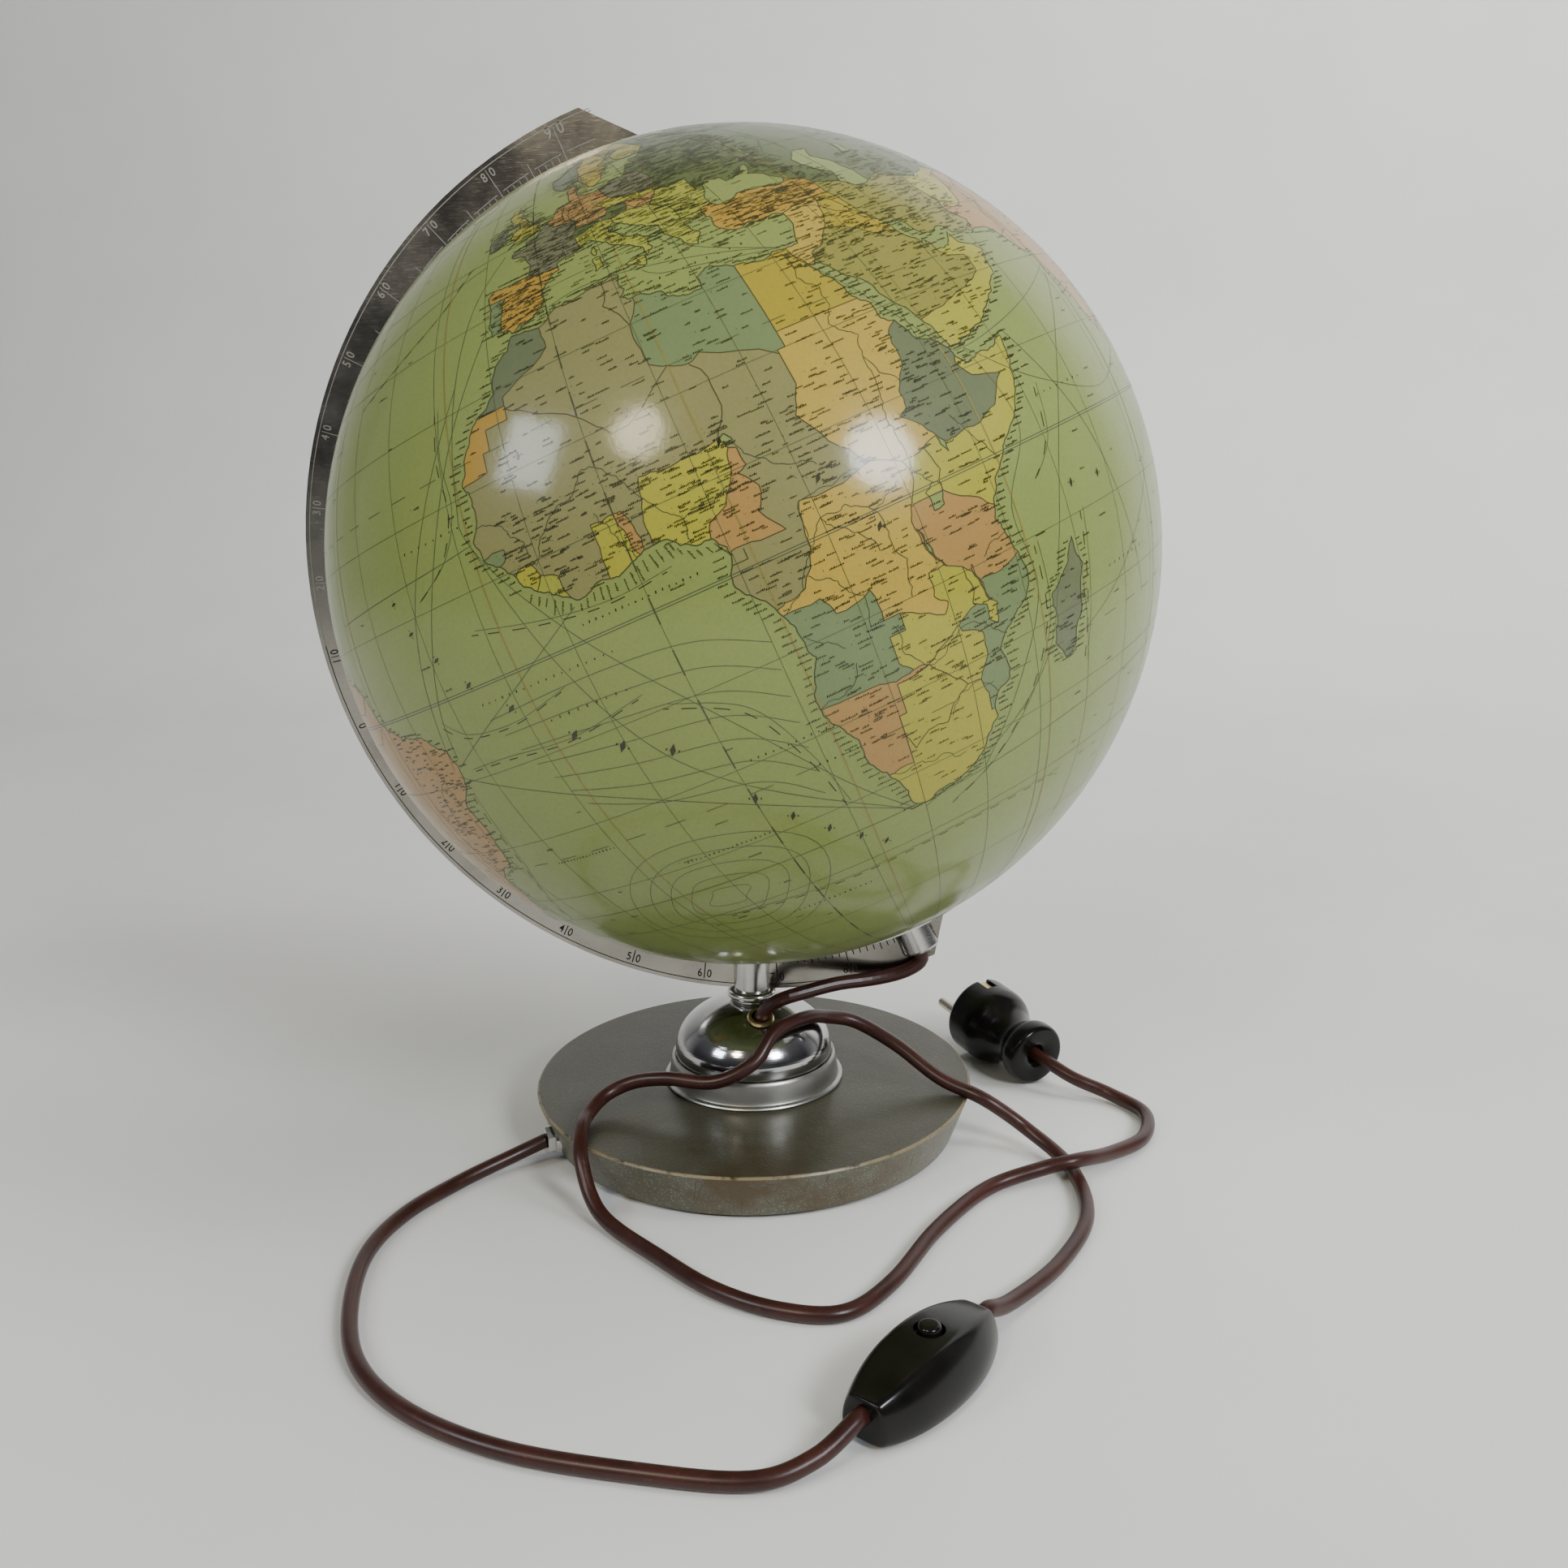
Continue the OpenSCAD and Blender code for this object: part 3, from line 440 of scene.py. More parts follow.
# ---------------------------------------------------------------- map data, as lon, lat in degrees
COASTS = {
    "africa": "-5.9,35.8 -3,35.3 -1.8,35.1 0,35.9 3,36.9 6,36.9 8.5,37.1 10.2,37.3 11,37 10.5,35.7 11,34.8 "
        "10.1,34 11,33.2 13.2,32.9 15.2,32.4 15.6,31.4 18,30.5 19.8,30.5 20.1,31.2 20,32.2 21.6,32.9 "
        "23.1,32.5 25,31.6 27.5,31.1 29.2,30.9 30.4,31.5 32.3,31.2 32.5,29.9 33.5,27.8 34.3,26 35.5,24 "
        "35.6,22.5 37.2,21 37.2,18.8 38.6,18 39.5,15.6 41,14.6 43.1,12.7 43.3,11.5 44.5,10.4 47,11.1 "
        "51.2,11.9 50.8,10 49.8,8 48,4.5 46,2.4 44,1 42.2,-1 41,-2 39.5,-4.2 38.8,-6.2 39.5,-8 "
        "40.5,-10.8 40.7,-14.8 39,-16.5 36.8,-18 34.8,-20 35.4,-22 35.4,-24 32.8,-25.8 32.8,-28 "
        "31.5,-29.4 30.2,-31.3 28,-33 25.7,-34 22.5,-34 20,-34.8 18.4,-34.1 18.2,-32 17,-29.5 15.2,-27 "
        "14.5,-23 13.3,-20.5 11.8,-18 12.4,-14.5 13.7,-11.5 13,-8.8 12.2,-6 11.2,-3.8 9.5,-2.3 8.8,-0.8 "
        "9.5,1 9.8,3 8.8,4.4 7,4.4 5.4,5.1 4.4,6.3 2.5,6.3 1.2,6 -0.5,5.4 -2,4.8 -4.5,5.2 -7.5,4.4 "
        "-9.2,5.6 -11.4,6.9 -12.9,8 -13.3,9.2 -14.8,11 -16.7,12.4 -17.4,14.7 -16.5,16 -16.2,18.5 "
        "-16.2,20.2 -17,21 -16,23.7 -14.5,26.2 -12.9,27.9 -11,28.8 -9.8,29.7 -9.8,31.5 -8.5,33.3 "
        "-6.8,34.1",
    "eurasia": "32.3,31.2 34.3,31.3 35,32.8 35.9,34.5 35.8,36.2 34.5,36.7 32.5,36.1 30.6,36.8 "
        "29,36.3 27.3,37 "
        "26.3,38.3 26.8,39.6 26.1,40.1 26.4,40.7 24,40.8 22.8,40.4 23.2,39 24,38 22.8,36.5 21.6,37 "
        "21.1,38.3 19.5,40 19.4,41.8 16.5,43.4 14.5,45 13.6,45.6 12.4,45.2 12.4,44.2 14,42.5 16.1,41.8 "
        "18.4,40.2 17,40.4 16.6,39.5 17.1,38.9 15.8,38 15.8,39.5 14.2,40.8 12.2,41.8 10.3,43.5 8.8,44.4 "
        "7,43.6 4.8,43.4 3.1,43 3.2,41.9 0.8,40.8 -0.3,39.4 0,38.7 -0.8,37.7 -2.2,36.8 -4.5,36.7 "
        "-5.6,36.1 -6.4,36.9 -8.9,37 -9.4,38.7 -8.8,41 -9.2,43.1 -7.7,43.7 -4,43.5 -1.8,43.4 -1.2,45 "
        "-2,47 -4.6,48 -4.5,48.6 -1.6,48.7 -1.7,49.7 0.2,49.6 1.7,50.8 4,51.8 5,53.3 8.2,53.6 8.2,55.5 "
        "8.2,57 10.5,57.6 10.5,56 9.8,54.9 11,54.1 14.2,54 18.5,54.7 20,54.7 21.1,56 22,57.5 24.2,57.2 "
        "23.6,58.8 28,59.6 30,59.9 28,60.6 23,60 21.4,61 21.5,63 25.3,65 24,65.8 21.5,64.5 17.4,61.5 "
        "17.3,60.6 18.8,59.8 16.6,58 16,56.3 14.2,55.4 12.9,55.5 12,57.5 11,59 9,58.3 7,58 5.3,59.5 "
        "5,62 8.5,63.7 12.5,66 15,68.3 19.5,70 25.5,71.1 30,70.3 33.5,69.4 40.5,67.5 40.5,66.3 34,66.8 "
        "35,64.4 38,64.2 40,65.2 44,66.3 46,68 54,68.7 60.5,69.5 67,69 69,72.8 73,71.5 73,68.5 76,72 "
        "87,75 104,77.6 113,73.8 128,72.5 140,72.6 160,69.7 170,69.8 179.9,68.8 179.9,65 177.5,62.5 "
        "170,60 163,58 162,56 156.8,51 156,57 163.5,62.5 155,59.3 143,59.3 135.5,54.7 141,53 140,48.5 "
        "135,43.5 131,42.6 127.6,39.7 129.4,37 129,35.2 126.5,34.5 126.8,37 125,38 124.5,40 121.5,39 "
        "121.5,40.8 118,39.2 119,37.3 122.3,37 119.3,35 121.8,31.5 121.5,28.5 119,25.3 116.5,23 "
        "113.5,22.2 110.3,21.2 108.3,21.6 105.8,19.5 107.5,16.5 109.3,13 109,11.4 106.8,10.4 105,8.7 "
        "105,10.5 102.5,12 101,13.4 100,13.4 99.3,10 100.5,7.2 103.3,4.5 104.2,1.4 103.4,1.5 101.3,3 "
        "100.3,6 98.4,8.2 98.6,12 97.6,16.3 95.3,15.8 94.3,18.5 92,21.3 90.4,22.2 87,21.4 85,19.6 "
        "82.3,16.6 80.3,15 80.2,13 79.8,10.3 77.5,8.1 76.2,10.2 74.6,13.8 73,17.5 72.7,21 70.5,20.8 "
        "69,22.3 67.3,24.8 61.6,25.2 57.3,25.8 56.5,27.1 53.5,26.6 51.3,27.8 50,30.1 48,30 48.6,28 "
        "50.2,26.6 50.8,24.9 51.2,26 51.6,25.2 51.6,24.2 54.3,24.3 56.2,26.2 56.5,24.4 59.8,22.5 "
        "57.8,19 55,17.2 52.2,15.6 48.6,14 45,12.9 43.4,12.7 42.7,15.5 41.2,18.5 39.1,21.5 38.4,23.8 "
        "36.2,26 34.9,28.1 34.95,29.4 34.2,27.8 33.2,28.6 32.5,29.9",
    "black_sea": "28.2,42 28.6,43.8 30.7,46.5 33,46 33.5,44.8 36,45.2 38,47 39.2,47 37.5,44.8 "
        "41.5,42 41,41.1 "
        "36,41.6 33,42 31.2,41.2 29,41.2",
    "caspian": "47,45 50,46.8 53,46.8 51,44.6 53,42.8 53.8,40 53.9,37.2 51.5,36.7 49,38.2 50,40.5 48,42",
    "aral": "58.5,44 60,46.5 61.5,46 61,44", "victoria": "31.8,-0.5 33,0.3 34,-0.2 33.4,-2.4 32,-2.6",
    "nyasa": "34,-9.6 34.7,-12 35,-14.2 34.4,-12.3", "tanganyika": "29.2,-3.5 29.8,-5.5 31,-8.6 30,-7.2",
    "chad": "13.3,13 14.3,14 15,13", "rudolf": "35.9,4.6 36.6,3.6 36.5,2.5 35.9,3.6",
    "madagascar": "49.3,-12.1 50.4,-15.7 49.4,-17.8 47.2,-24.8 45.2,-25.5 43.5,-23 44.4,-20 44,-17.2 "
        "46.5,-15.6 48.2,-13.6",
    "britain": "-5.6,50 -3,50.7 1.3,51.1 0.8,51.7 1.7,52.7 0.2,53.2 -1.5,54.9 -3,56 -2,57.6 "
        "-4,57.6 -3.2,58.6 "
        "-5,58.6 -5.8,57.2 -4.8,55.7 -5,54.8 -3.2,54.9 -3,53.4 -4.5,53.2 -5,51.7 -3,51.4 -5,50.4",
    "ireland": "-6.1,53.3 -6.4,52.2 -9.8,51.5 -9.9,53.4 -8.4,54.4 -7.3,55.3 -5.7,54.6",
    "iceland": "-22.5,64 -18.5,63.4 -13.7,64.9 -14.8,66.3 -20.5,66.1 -24,65.6",
    "sicily": "12.5,38 15.6,38.2 15.1,36.7", "sardinia": "8.3,39 9.6,39.2 9.7,41 8.4,40.9",
    "corsica": "8.6,42.2 9.2,41.4 9.5,42.2 9.3,43",
    "crete": "23.6,35.3 26.3,35.2 24.5,35",
    "cyprus": "32.4,34.8 34.5,35.6 33,34.6",
    "svalbard": "12,78 20,80 25,79.5 17,76.7", "novaya": "53,71 57,73.5 68,76.8 60,75.5 52,72",
    "ceylon": "79.8,8.2 80.3,9.7 81.8,7.5 80.6,6",
    "honshu": "131,34.2 135,33.7 140,35.2 141.8,39.5 140.5,41.3 139.5,38.5 136,36 132.5,35.4",
    "hokkaido": "140.2,41.6 143.3,42.1 145.3,43.5 141.8,45.3",
    "kyushu": "130,33.3 131.8,33.5 131.2,31.4 130.2,31.5",
    "sakhalin": "142,46.2 143.5,49.5 142.8,54 142,52",
    "taiwan": "120.2,23 121.8,25 120.9,22",
    "hainan": "108.8,19.3 110.8,20 110,18.4",
    "luzon": "120.3,16 121,18.5 122.2,18.3 121.7,15.5 124,13 120.8,13.8",
    "mindanao": "122,7 125.4,9.7 126.5,7.3 125.4,5.8",
    "borneo": "109.1,1.5 111.5,2.8 114.9,5 117,7 119,5.2 117.8,3 118.8,1 116.5,-3.5 114.5,-4 110.3,-2.8",
    "sumatra": "95.3,5.6 97.5,5.2 100.5,2.5 103.8,-1 106,-3 105.8,-5.8 104,-5.6 100.5,-1.5",
    "java": "105.3,-6.8 108.5,-6.7 110.8,-6.4 114.4,-7.8 114.3,-8.6 108.5,-7.8",
    "celebes": "119.5,-5.5 119.8,0.7 123,1 125,1.5 123.3,0.4 120.3,0.4 120.4,-1 123.3,-0.9 121.5,-2 "
        "122.8,-4.4 121.2,-2.8 120.3,-5.5",
    "guinea": "131,-0.8 134.1,-0.8 135,-3.3 138,-1.7 144.5,-3.8 147.8,-6 150.7,-10.5 147,-9.5 144,-7.7 "
        "138.7,-8.3 138,-5.5 133,-4",
    "australia": "114.1,-21.8 116.7,-20.7 121,-19.5 122.2,-17.5 126,-14.2 129,-15 131,-12.2 136.8,-12.2 "
        "135.7,-15 139.5,-17.6 141,-16.5 141.7,-12.5 142.6,-10.8 145.3,-15 146.3,-19 149.5,-22.2 "
        "153.2,-25.5 153.5,-29 152.5,-32.5 150,-37.2 146.5,-38.8 143.5,-38.7 140,-37.8 138,-35.6 "
        "137.8,-33 135.7,-34.9 131.3,-31.5 126,-32.3 123.5,-33.9 118,-35 115.1,-34.3 115.7,-31.8 "
        "113.4,-26",
    "tasmania": "144.8,-40.8 148.3,-41 147,-43.5 145.8,-43.2",
    "nz_north": "172.8,-34.5 175.5,-37 178.3,-37.8 176.8,-40 175.2,-41.5 173.9,-39.2 174.8,-37.5",
    "nz_south": "172.8,-40.6 174.2,-41.6 172.8,-43.7 170.7,-45.9 168.5,-46.6 166.6,-45.8 170.8,-42.8",
    "greenland": "-73,78.3 -60,82 -35,83.5 -20,81.5 -19,76 -22,71 -32,68 -40,65 -43,60 -48,61 "
        "-53,66 -51,69.5 "
        "-58,75",
    "n_america": "-168,65.7 -161,66.5 -166,68.4 -156.5,71.3 -141,69.7 -128,70 -115,68.5 -108,68 -95,69 "
        "-90,69.3 -85,69.5 -82,67.8 -87,66.3 -94,61.5 -94.5,58.8 -88,56.6 -82.3,55 -80,51.4 "
        "-78.8,54 -77,57.5 -78,62.3 -70,61 -66,58.8 -61.5,57 -56,52.5 -60,50.2 -66.5,50.2 "
        "-64.5,48.8 -65,46.5 -61,45.5 -66,43.7 -67,45 -70.3,43.5 -70,41.7 -74,40.6 -75.8,37 "
        "-76,35 -81,31.8 -80.2,26.5 -81,25.2 -82.7,28.5 -84.5,30 -89.5,30.2 -94,29.5 -97.2,27.5 "
        "-97.7,22.5 -95.5,18.6 -91.5,18.5 -90.3,21 -87,21.4 -88,18.2 -88.5,15.9 -83.3,15 "
        "-83.5,11 -81.5,9 -79.5,9.5 -77.3,8.5 -77.8,7.3 -79.8,7.3 -80.5,8.2 -83,8.3 -85.7,10 "
        "-87.5,13 -92,14.5 -95,16 -99.5,16.6 -105.5,20 -105.5,22.5 -109.3,26.5 -113,31.2 "
        "-114.7,31.5 -112.5,28 -109.5,23.1 -112.2,25 -114.5,28 -117.2,32.5 -120.6,34.6 "
        "-123.8,39 -124.4,43 -124,46.5 -123,49 -128,51.5 -131,55 -139,59.5 -147,60.9 -152,59 "
        "-158,56.5 -164.8,54.6 -158,58.7 -165,61 -161,64.4",
    "chukotka": "-179.9,68.8 -175,67.5 -170,66 -173,64.3 -179.9,65",
    "s_america": "-77.3,8.5 -75.5,10.6 -71.7,12.3 -71.5,11 -68.2,11.3 -62,10.7 -60,8.5 -57,6 -51.7,4.2 -50,1 "
        "-48,-0.8 -44.3,-2.6 -40,-2.9 -37,-4.8 -35.2,-5.5 -34.8,-7.5 -35.3,-9.5 -37.2,-11.5 -39,-13.5 "
        "-39,-17.5 -40.5,-21 -42,-22.9 -46,-24 -48.6,-26 -48.7,-28.5 -52,-32.5 -54.5,-34.8 -58.3,-34 "
        "-57,-36.5 -58,-38.3 -62,-39 -65,-41 -63.7,-42.6 -67.3,-46 -65.8,-47.9 -69,-51 -68.3,-52.5 "
        "-65.2,-54.7 -69,-55.5 -74.5,-52 -75.5,-47 -73,-42 -73.5,-37 -71.5,-31 -70.3,-25 -70.3,-18.3 "
        "-76,-14 -79,-8 -81.2,-5 -80.3,-3.3 -81,-1 -80,0.8 -77.5,4 -77.8,7.3",
    "cuba": "-84.8,21.9 -82.5,23 -77,21.8 -74.3,20.2 -77.6,19.9",
    "hispaniola": "-74.3,18.4 -73,19.8 -68.5,18.6 -71.5,17.7",
    "newfoundland": "-59,47.7 -55.5,51.4 -53,48 -53.8,46.8",
    "baffin": "-62,66.5 -78,73.5 -88,73.5 -82,70.3 -73,67.5 -66,62.3",
    "victoria_isle": "-117,69.2 -110,73 -102,70.4 -106,69.2",
    "ellesmere": "-90,76.5 -78,76.4 -62,82.4 -85,82 -92,80.5",
    "antarctica": "-179.9,-78 -160,-77.5 -150,-76 -130,-74.5 -110,-74.5 -100,-72.5 -80,-73 -68,-70 -62,-64.5 "
        "-57,-63.4 -61,-68 -61,-74 -40,-78 -28,-76 -15,-72 0,-70 20,-70 38,-69.5 50,-66.5 68,-69 "
        "88,-66.5 110,-66 130,-66.3 145,-67.3 160,-70 170,-72 165,-77 179.9,-78 179.9,-79.9 "
        "-179.9,-79.9",
}
# borders: neighbours share one line; ends run a little way over the coast
BORDERS = """-17.3,20.9 -13,21.3 -13,23.5 -12,23.5 -12,26 -8.7,26 -8.7,27.7 -13.4,27.7
-8.7,27.7 -8.7,28.8 -3.7,30.6 -1.3,32.2 -1.8,35.4
-8.7,27.3 -4.8,25 1.8,20.5 3.2,19 5.8,19.4 11.9,23.5 10,24.5 9.9,26.5 9.8,30 9,32 7.5,33.8 8.3,35.2 8.6,37.3
9.8,30 11.5,32.5 11.5,33.5
11.9,23.5 14.2,22.7 15.9,23.4 24,19.5 24,20 25,20 25,22 25,31.8
25,22 31,22 37.2,22
24,19.5 24,15.7 22.3,12.6 24.3,8.7 27.4,5 30.8,3.6 33.8,4 35.9,4.6
35.9,4.6 35.2,5.5 33,7.9 34.1,8.6 34.3,10.6 36,12.7 36.6,14.3 37,17 38.9,18.2
36.1,3.8 38,3.6 41.9,3.9 45,5 48,8 44,9 42.8,11 43.5,12.5
14.2,22.7 15.2,21.5 15.5,16.8 13.6,13.7 14.2,12.4
2.7,6 2.8,9 3.6,11.7 4.1,13.5 7,13.1 10,13.3 13.6,13.7
14.2,12.4 13.5,10 11.5,7 9.2,6 8.6,4.3
14.2,12.4 15,12.1 15.2,10 14,9.5 15.5,7.5 14.4,5 16.2,2.2 13.3,2.2 9.6,2.3
11.3,2.2 11.3,1 9.3,1
27.4,5 22.5,4.1 18.6,4.3 17.8,-0.5 15.5,-4.3 13,-4.8 11.4,-5.4
12,-6 16.5,-5.9 17.5,-8.1 21.8,-7.3 22,-11 24,-11 24,-13 22,-13 22,-16.2 23.4,-17.6
24,-11 25.3,-11.5 29,-13.4 29.8,-12.2 28.4,-11 28.7,-8.4 30.8,-8.3
30.8,-8.3 29.4,-6 29.3,-4.4 29,-2.7 29.6,-1.2 31.3,2.2 30.8,3.6
33.8,4 34.6,1.2 33.9,0.2 33.9,-1 30.5,-1 29.6,-1.2
33.9,-1 37.7,-3.3 39.4,-4.8
30.8,-8.3 32.8,-9.4 34.5,-11.6 37.5,-11.7 40.7,-10.5
32.8,-9.4 33.3,-12 32.7,-13.7 34.4,-14.5 34.3,-16.2 35.3,-17.1 35.8,-14.8 34.6,-13.5 34.5,-11.6
32.7,-13.7 33,-14 30.2,-15.2 30.4,-16 33,-17.3 32.9,-20 31.3,-22.4 32,-24.5 32,-26.8 33.1,-26.8
25.3,-17.8 28.9,-16 30.2,-15.2
25.3,-17.8 21,-18.3 21,-22 20,-22 20,-24.8 20.8,-26.8 23,-25.3 25.7,-25.5 27,-23.6 29.4,-22.2 31.3,-22.4
25.3,-17.8 27.7,-20.5 29.4,-22.2
11.6,-17.3 14,-17.4 18.5,-17.4 21,-18 24.2,-17.5 25.3,-17.8
20,-24.8 20,-28.5 16.3,-28.7
-16.9,12.4 -13.7,12.6 -13.8,11.6 -15.1,10.9
-13.5,9.1 -12.5,9.9 -11,9.9 -10.4,8.4 -11.6,6.9
-10.4,8.4 -9.3,8 -8.4,7.5 -8.4,6.5 -7.5,4.2
-3,4.8 -2.8,9.6 -2.8,11 0,11.1 0.6,8.3 0.6,6.9 1.2,5.8
0,11.1 0.9,11 1.6,9 1.7,5.9
41.4,16.6 44,17.4 48,18 52,19 55,20 55.5,22.5 52.5,23 51.6,24.2
34.95,29.4 37,30 39.2,32 42,31.2 44.7,29.2 46.5,29 48.6,28.5
48,30 46,33 45.5,36 44.8,37.2 44.8,39.7 43.6,41 40.8,41.7
35.7,36 38,36.7 42.3,37.2 44.8,37.2
39.2,32 41,34.3 42.3,37.2
26.1,40.6 26.5,41.8 28.3,42
44.8,39.7 48,38.8 49.1,38.2
53.8,37.3 57,38.1 61.2,36.6 60.8,34 61.7,31.4 60.9,29.8 63.2,27.2 61.6,25
60.9,29.8 66.3,29.9 69.5,33 71.5,36.3 74.9,37.2
61.2,36.6 64.5,36 68,37 71,38 74.9,37.2 73.7,39.5 80.2,42 82.5,45.3 87.5,49.2 98,50 98,52 108,49.5 \
116,49.8 120,53.3 126,52.8 131,47.8 135,48.4 131,44.9 130.7,42.3
68,23.7 71,24.4 70.5,28 74.5,31 74,33 77.8,35.5
74.9,37.2 77.8,35.5 79,32.5 81,30.2 88,27.9 92,27.8 97.3,28.2 97.5,24 101.1,21.5 105.3,23.3 108.3,21.4
92.1,21 93.2,24.2 97.3,28.2
101.1,21.5 100.1,20.3 97.5,18 98.9,16 98.4,12
116,49.8 119.8,46.7 116,46.3 111.8,43.7 105,41.6 97,42.7 91,45.2 87.5,49.2
124.4,39.8 128,42 130.7,42.4
-9.3,41.9 -6.3,41.8 -7,39.6 -7.4,36.7
-1.9,43.5 3.3,42.5
2.4,51.5 4.2,49.9 8.2,49 7.6,47.6 6.1,46.2 7,45.9 7.5,43.6
6.8,53.6 6,51.8 6.2,50 8.2,49
14.2,54.1 14.7,52 15,51 12.3,50.3 13.8,48.7 13,47.6 9.6,47.5 7.6,47.6
7,45.9 9,46.2 10.4,46.8 13.6,46.6 13.7,45.5
15,51 19,49.6 22.6,49.1 24,50.9 23.7,52.5 22.8,54.3 19.8,54.8
22.6,49.1 24.8,47.8 28.2,48.2 28.2,45.4 29.9,45.2
27.8,60.4 31.3,62.8 29.8,65 30,67.7 28.6,69.5 30.8,70.4
11.1,58.7 12,61.5 12.2,63.5 14.5,65.5 16.2,68 20.3,69.1 24.1,65.7
20.3,69.1 26,69.7 28.6,69.5
13.8,48.7 17,48.6 22.6,48.2 22.6,49.1
13.6,46.6 16.4,46.8 17.1,48 17,48.6
16.4,46.8 20.3,46.1 22.5,44.5 23,42 22.9,41.3 21,40.9 19.3,41.9
20.3,46.1 22.6,48.2
22.6,44.2 28.7,43.8
21,40.9 22.9,41.3 26.5,41.8
-67,45.1 -71,45.2 -75,45 -79,43.3 -83,42 -84.5,46.5 -89.5,48 -95,49 -123.2,49
-141,69.9 -141,60.2 -131,55.3
-97,25.9 -103,29 -106.5,31.8 -111,31.3 -114.8,32.5 -117.4,32.5
-94,15.8 -91,16.5 -89,17.8 -88,18.3
-51.5,4.3 -54.5,2.3 -60,2 -60.7,5.2 -64.5,4 -67,1.2 -69.8,1.5 -70,-4.3 -73.8,-7.3 -70.6,-9.8 -65.3,-10.5 \
-60,-14 -58,-18 -58,-22 -54.5,-24.5 -54,-27.2 -57.6,-30.2 -53.2,-33.8
-68.8,-52.4 -72.5,-50 -71.5,-40 -70,-33 -68.5,-26 -67,-22.5 -62.5,-22 -58,-20
-70.5,-18.3 -69,-16 -69.5,-10
-70.5,-18.3 -67.8,-22.8
-57.6,-30.2 -58.4,-34.1
-62.5,-22 -57.8,-25.3 -54.5,-25.6
-72,12.4 -72.5,8 -67.5,6.2 -67,1.2
-79,1.4 -75.3,-0.2 -70,-4.3
-80.5,-3.4 -78.5,-5 -75.3,-0.2
-59.9,8.6 -60.7,5.2""".splitlines()
# the two ends of a side that a pair of coasts share
SUEZ = "32.3,31.2 32.5,29.9"
DARIEN = "-77.3,8.5 -77.8,7.3"
# inks, as the print shows them
SEA = (0.335, 0.400, 0.155)
TAN = (0.340, 0.305, 0.170)
TEAL = (0.225, 0.300, 0.180)
GOLD = (0.550, 0.405, 0.048)
PALE_GOLD = (0.680, 0.455, 0.105)
YELLOW = (0.550, 0.490, 0.078)
LIME = (0.480, 0.480, 0.100)
GREY = (0.175, 0.205, 0.150)
PINK = (0.565, 0.310, 0.132)
ORANGE = (0.600, 0.345, 0.075)
VIOLET = (0.215, 0.205, 0.165)
GREEN = (0.125, 0.165, 0.080)
OLIVE = (0.370, 0.330, 0.090)
ICE = (0.560, 0.560, 0.430)
SEEDS = [
    (SEA, "-30,0 -30,-45 65,-20 -150,0 170,20 4,38.5 18,34 38,20 35,43.5 51,41 33,-1 34.5,-11.8 29.9,-6.5 "
        "14.2,13.4 60,45 3,55.5 20,58 50,28 0,75 -85,60 -90,25 112,12 -160,-50 -90,78 -60,70 20,-60 "
        "100,-50 7.5,40 18.6,38.6 36.2,3.4"),
    (TAN, "2,28 -2,18 9,17 19,15 -12,10.6 -14.5,14 -5.5,8 2.2,9 12,-1 16,1 20,7 9.5,36 8,35.8 -6,20 -10,22"),
    (GREY, "-6,32 39,9 39,15 46.5,-19 12,63.5 106,16"),
    (ORANGE, "-14.5,23.5 10.4,1.6 -4,40 33,39 -85,14"),
    (TEAL, "17,27 18,-12 38,-14 34,-18 32.5,-25 -8,39.5 -15,11.8"),
    (GOLD, "29,27 43,33"), (PALE_GOLD, "30,15 23,-3 26,-9 38.8,34.6"),
    (YELLOW, "8,10 -1.2,8 -12,8.6 27,-14 30,-19 24,-22 24,-29 32.5,2 39,1 34.4,-13.2 56,20.5 46,15.5 -2,52.5 "
        "-3,57.2 80.8,7.5 -100,58 -56,50 144,-25 147,-42 175,-39 171,-44 116,4 -76,73 -110,71 -80,80 "
        "-57,48"),
    (LIME, "-9.5,6.3 46,6.5 43,0 22,40 24,43 12,43 14,37.6 9,40 9.1,42.3 26,46"),
    (PINK, "12.5,6 14,8.5 10,6 17,-22 35,-6 1,8 10,51 -45,-15 -40,-8 66,28 78,20 85,26 24.8,35.2 140,-6"),
    (OLIVE, "45,24 36,31.5 55,33 122,15 124.5,8 -120,64 -150,65"),
    (VIOLET, "2,47 -8,53 20,52 105,35 125,45 95,47 -53,5.5 121,24 109.8,19.2 -78,21.5"),
    (GREEN, "35,55 65,48 100,62 -175,66.5 143,51 60,74.5 46,41 11,47 -100,40 -75,42"),
    (ICE, "-40,75 0,-75 60,-72 18,78.5 -19,65"),
    (GOLD, "15,62 17,65 137,36.5 143,43.3 131,32.5 -65,-35 -68,-30 127,36.5 100,15 -100,24"),
    (YELLOW, "27,64 9,56 17,49.5 64,33.5 95,21 -64,7 -72,4"),
    (PINK, "70,32 102,1 -71,-33 8.2,46.9 4.8,52 -78,-1 19,47.2 101,-1 110,-7.3 120.3,-3 145,-6 -60,-24 "
        "104,21 -72,19"),
    (TEAL, "18,44 -75,-9 -64,-17 -56,-33 135,-5 80,35 108,46"),
]
COAST_INK = (0.075, 0.085, 0.055)
BORDER_INK = (0.090, 0.070, 0.040)
TEXT_INK = (0.028, 0.026, 0.018)
GRID_INK = (0.105, 0.130, 0.085)

BALL_R = 0.170
BALL_C = Vector((0, 0, 0.254))
TILT = math.radians(23.5)
SPIN = math.radians(-2.6)
EAST0 = Vector((math.cos(TILT), 0, math.sin(TILT)))
NORTH = Vector((-math.sin(TILT), 0, math.cos(TILT)))
FRONT = Vector((0, -1, 0))
rnd = random.Random(11)


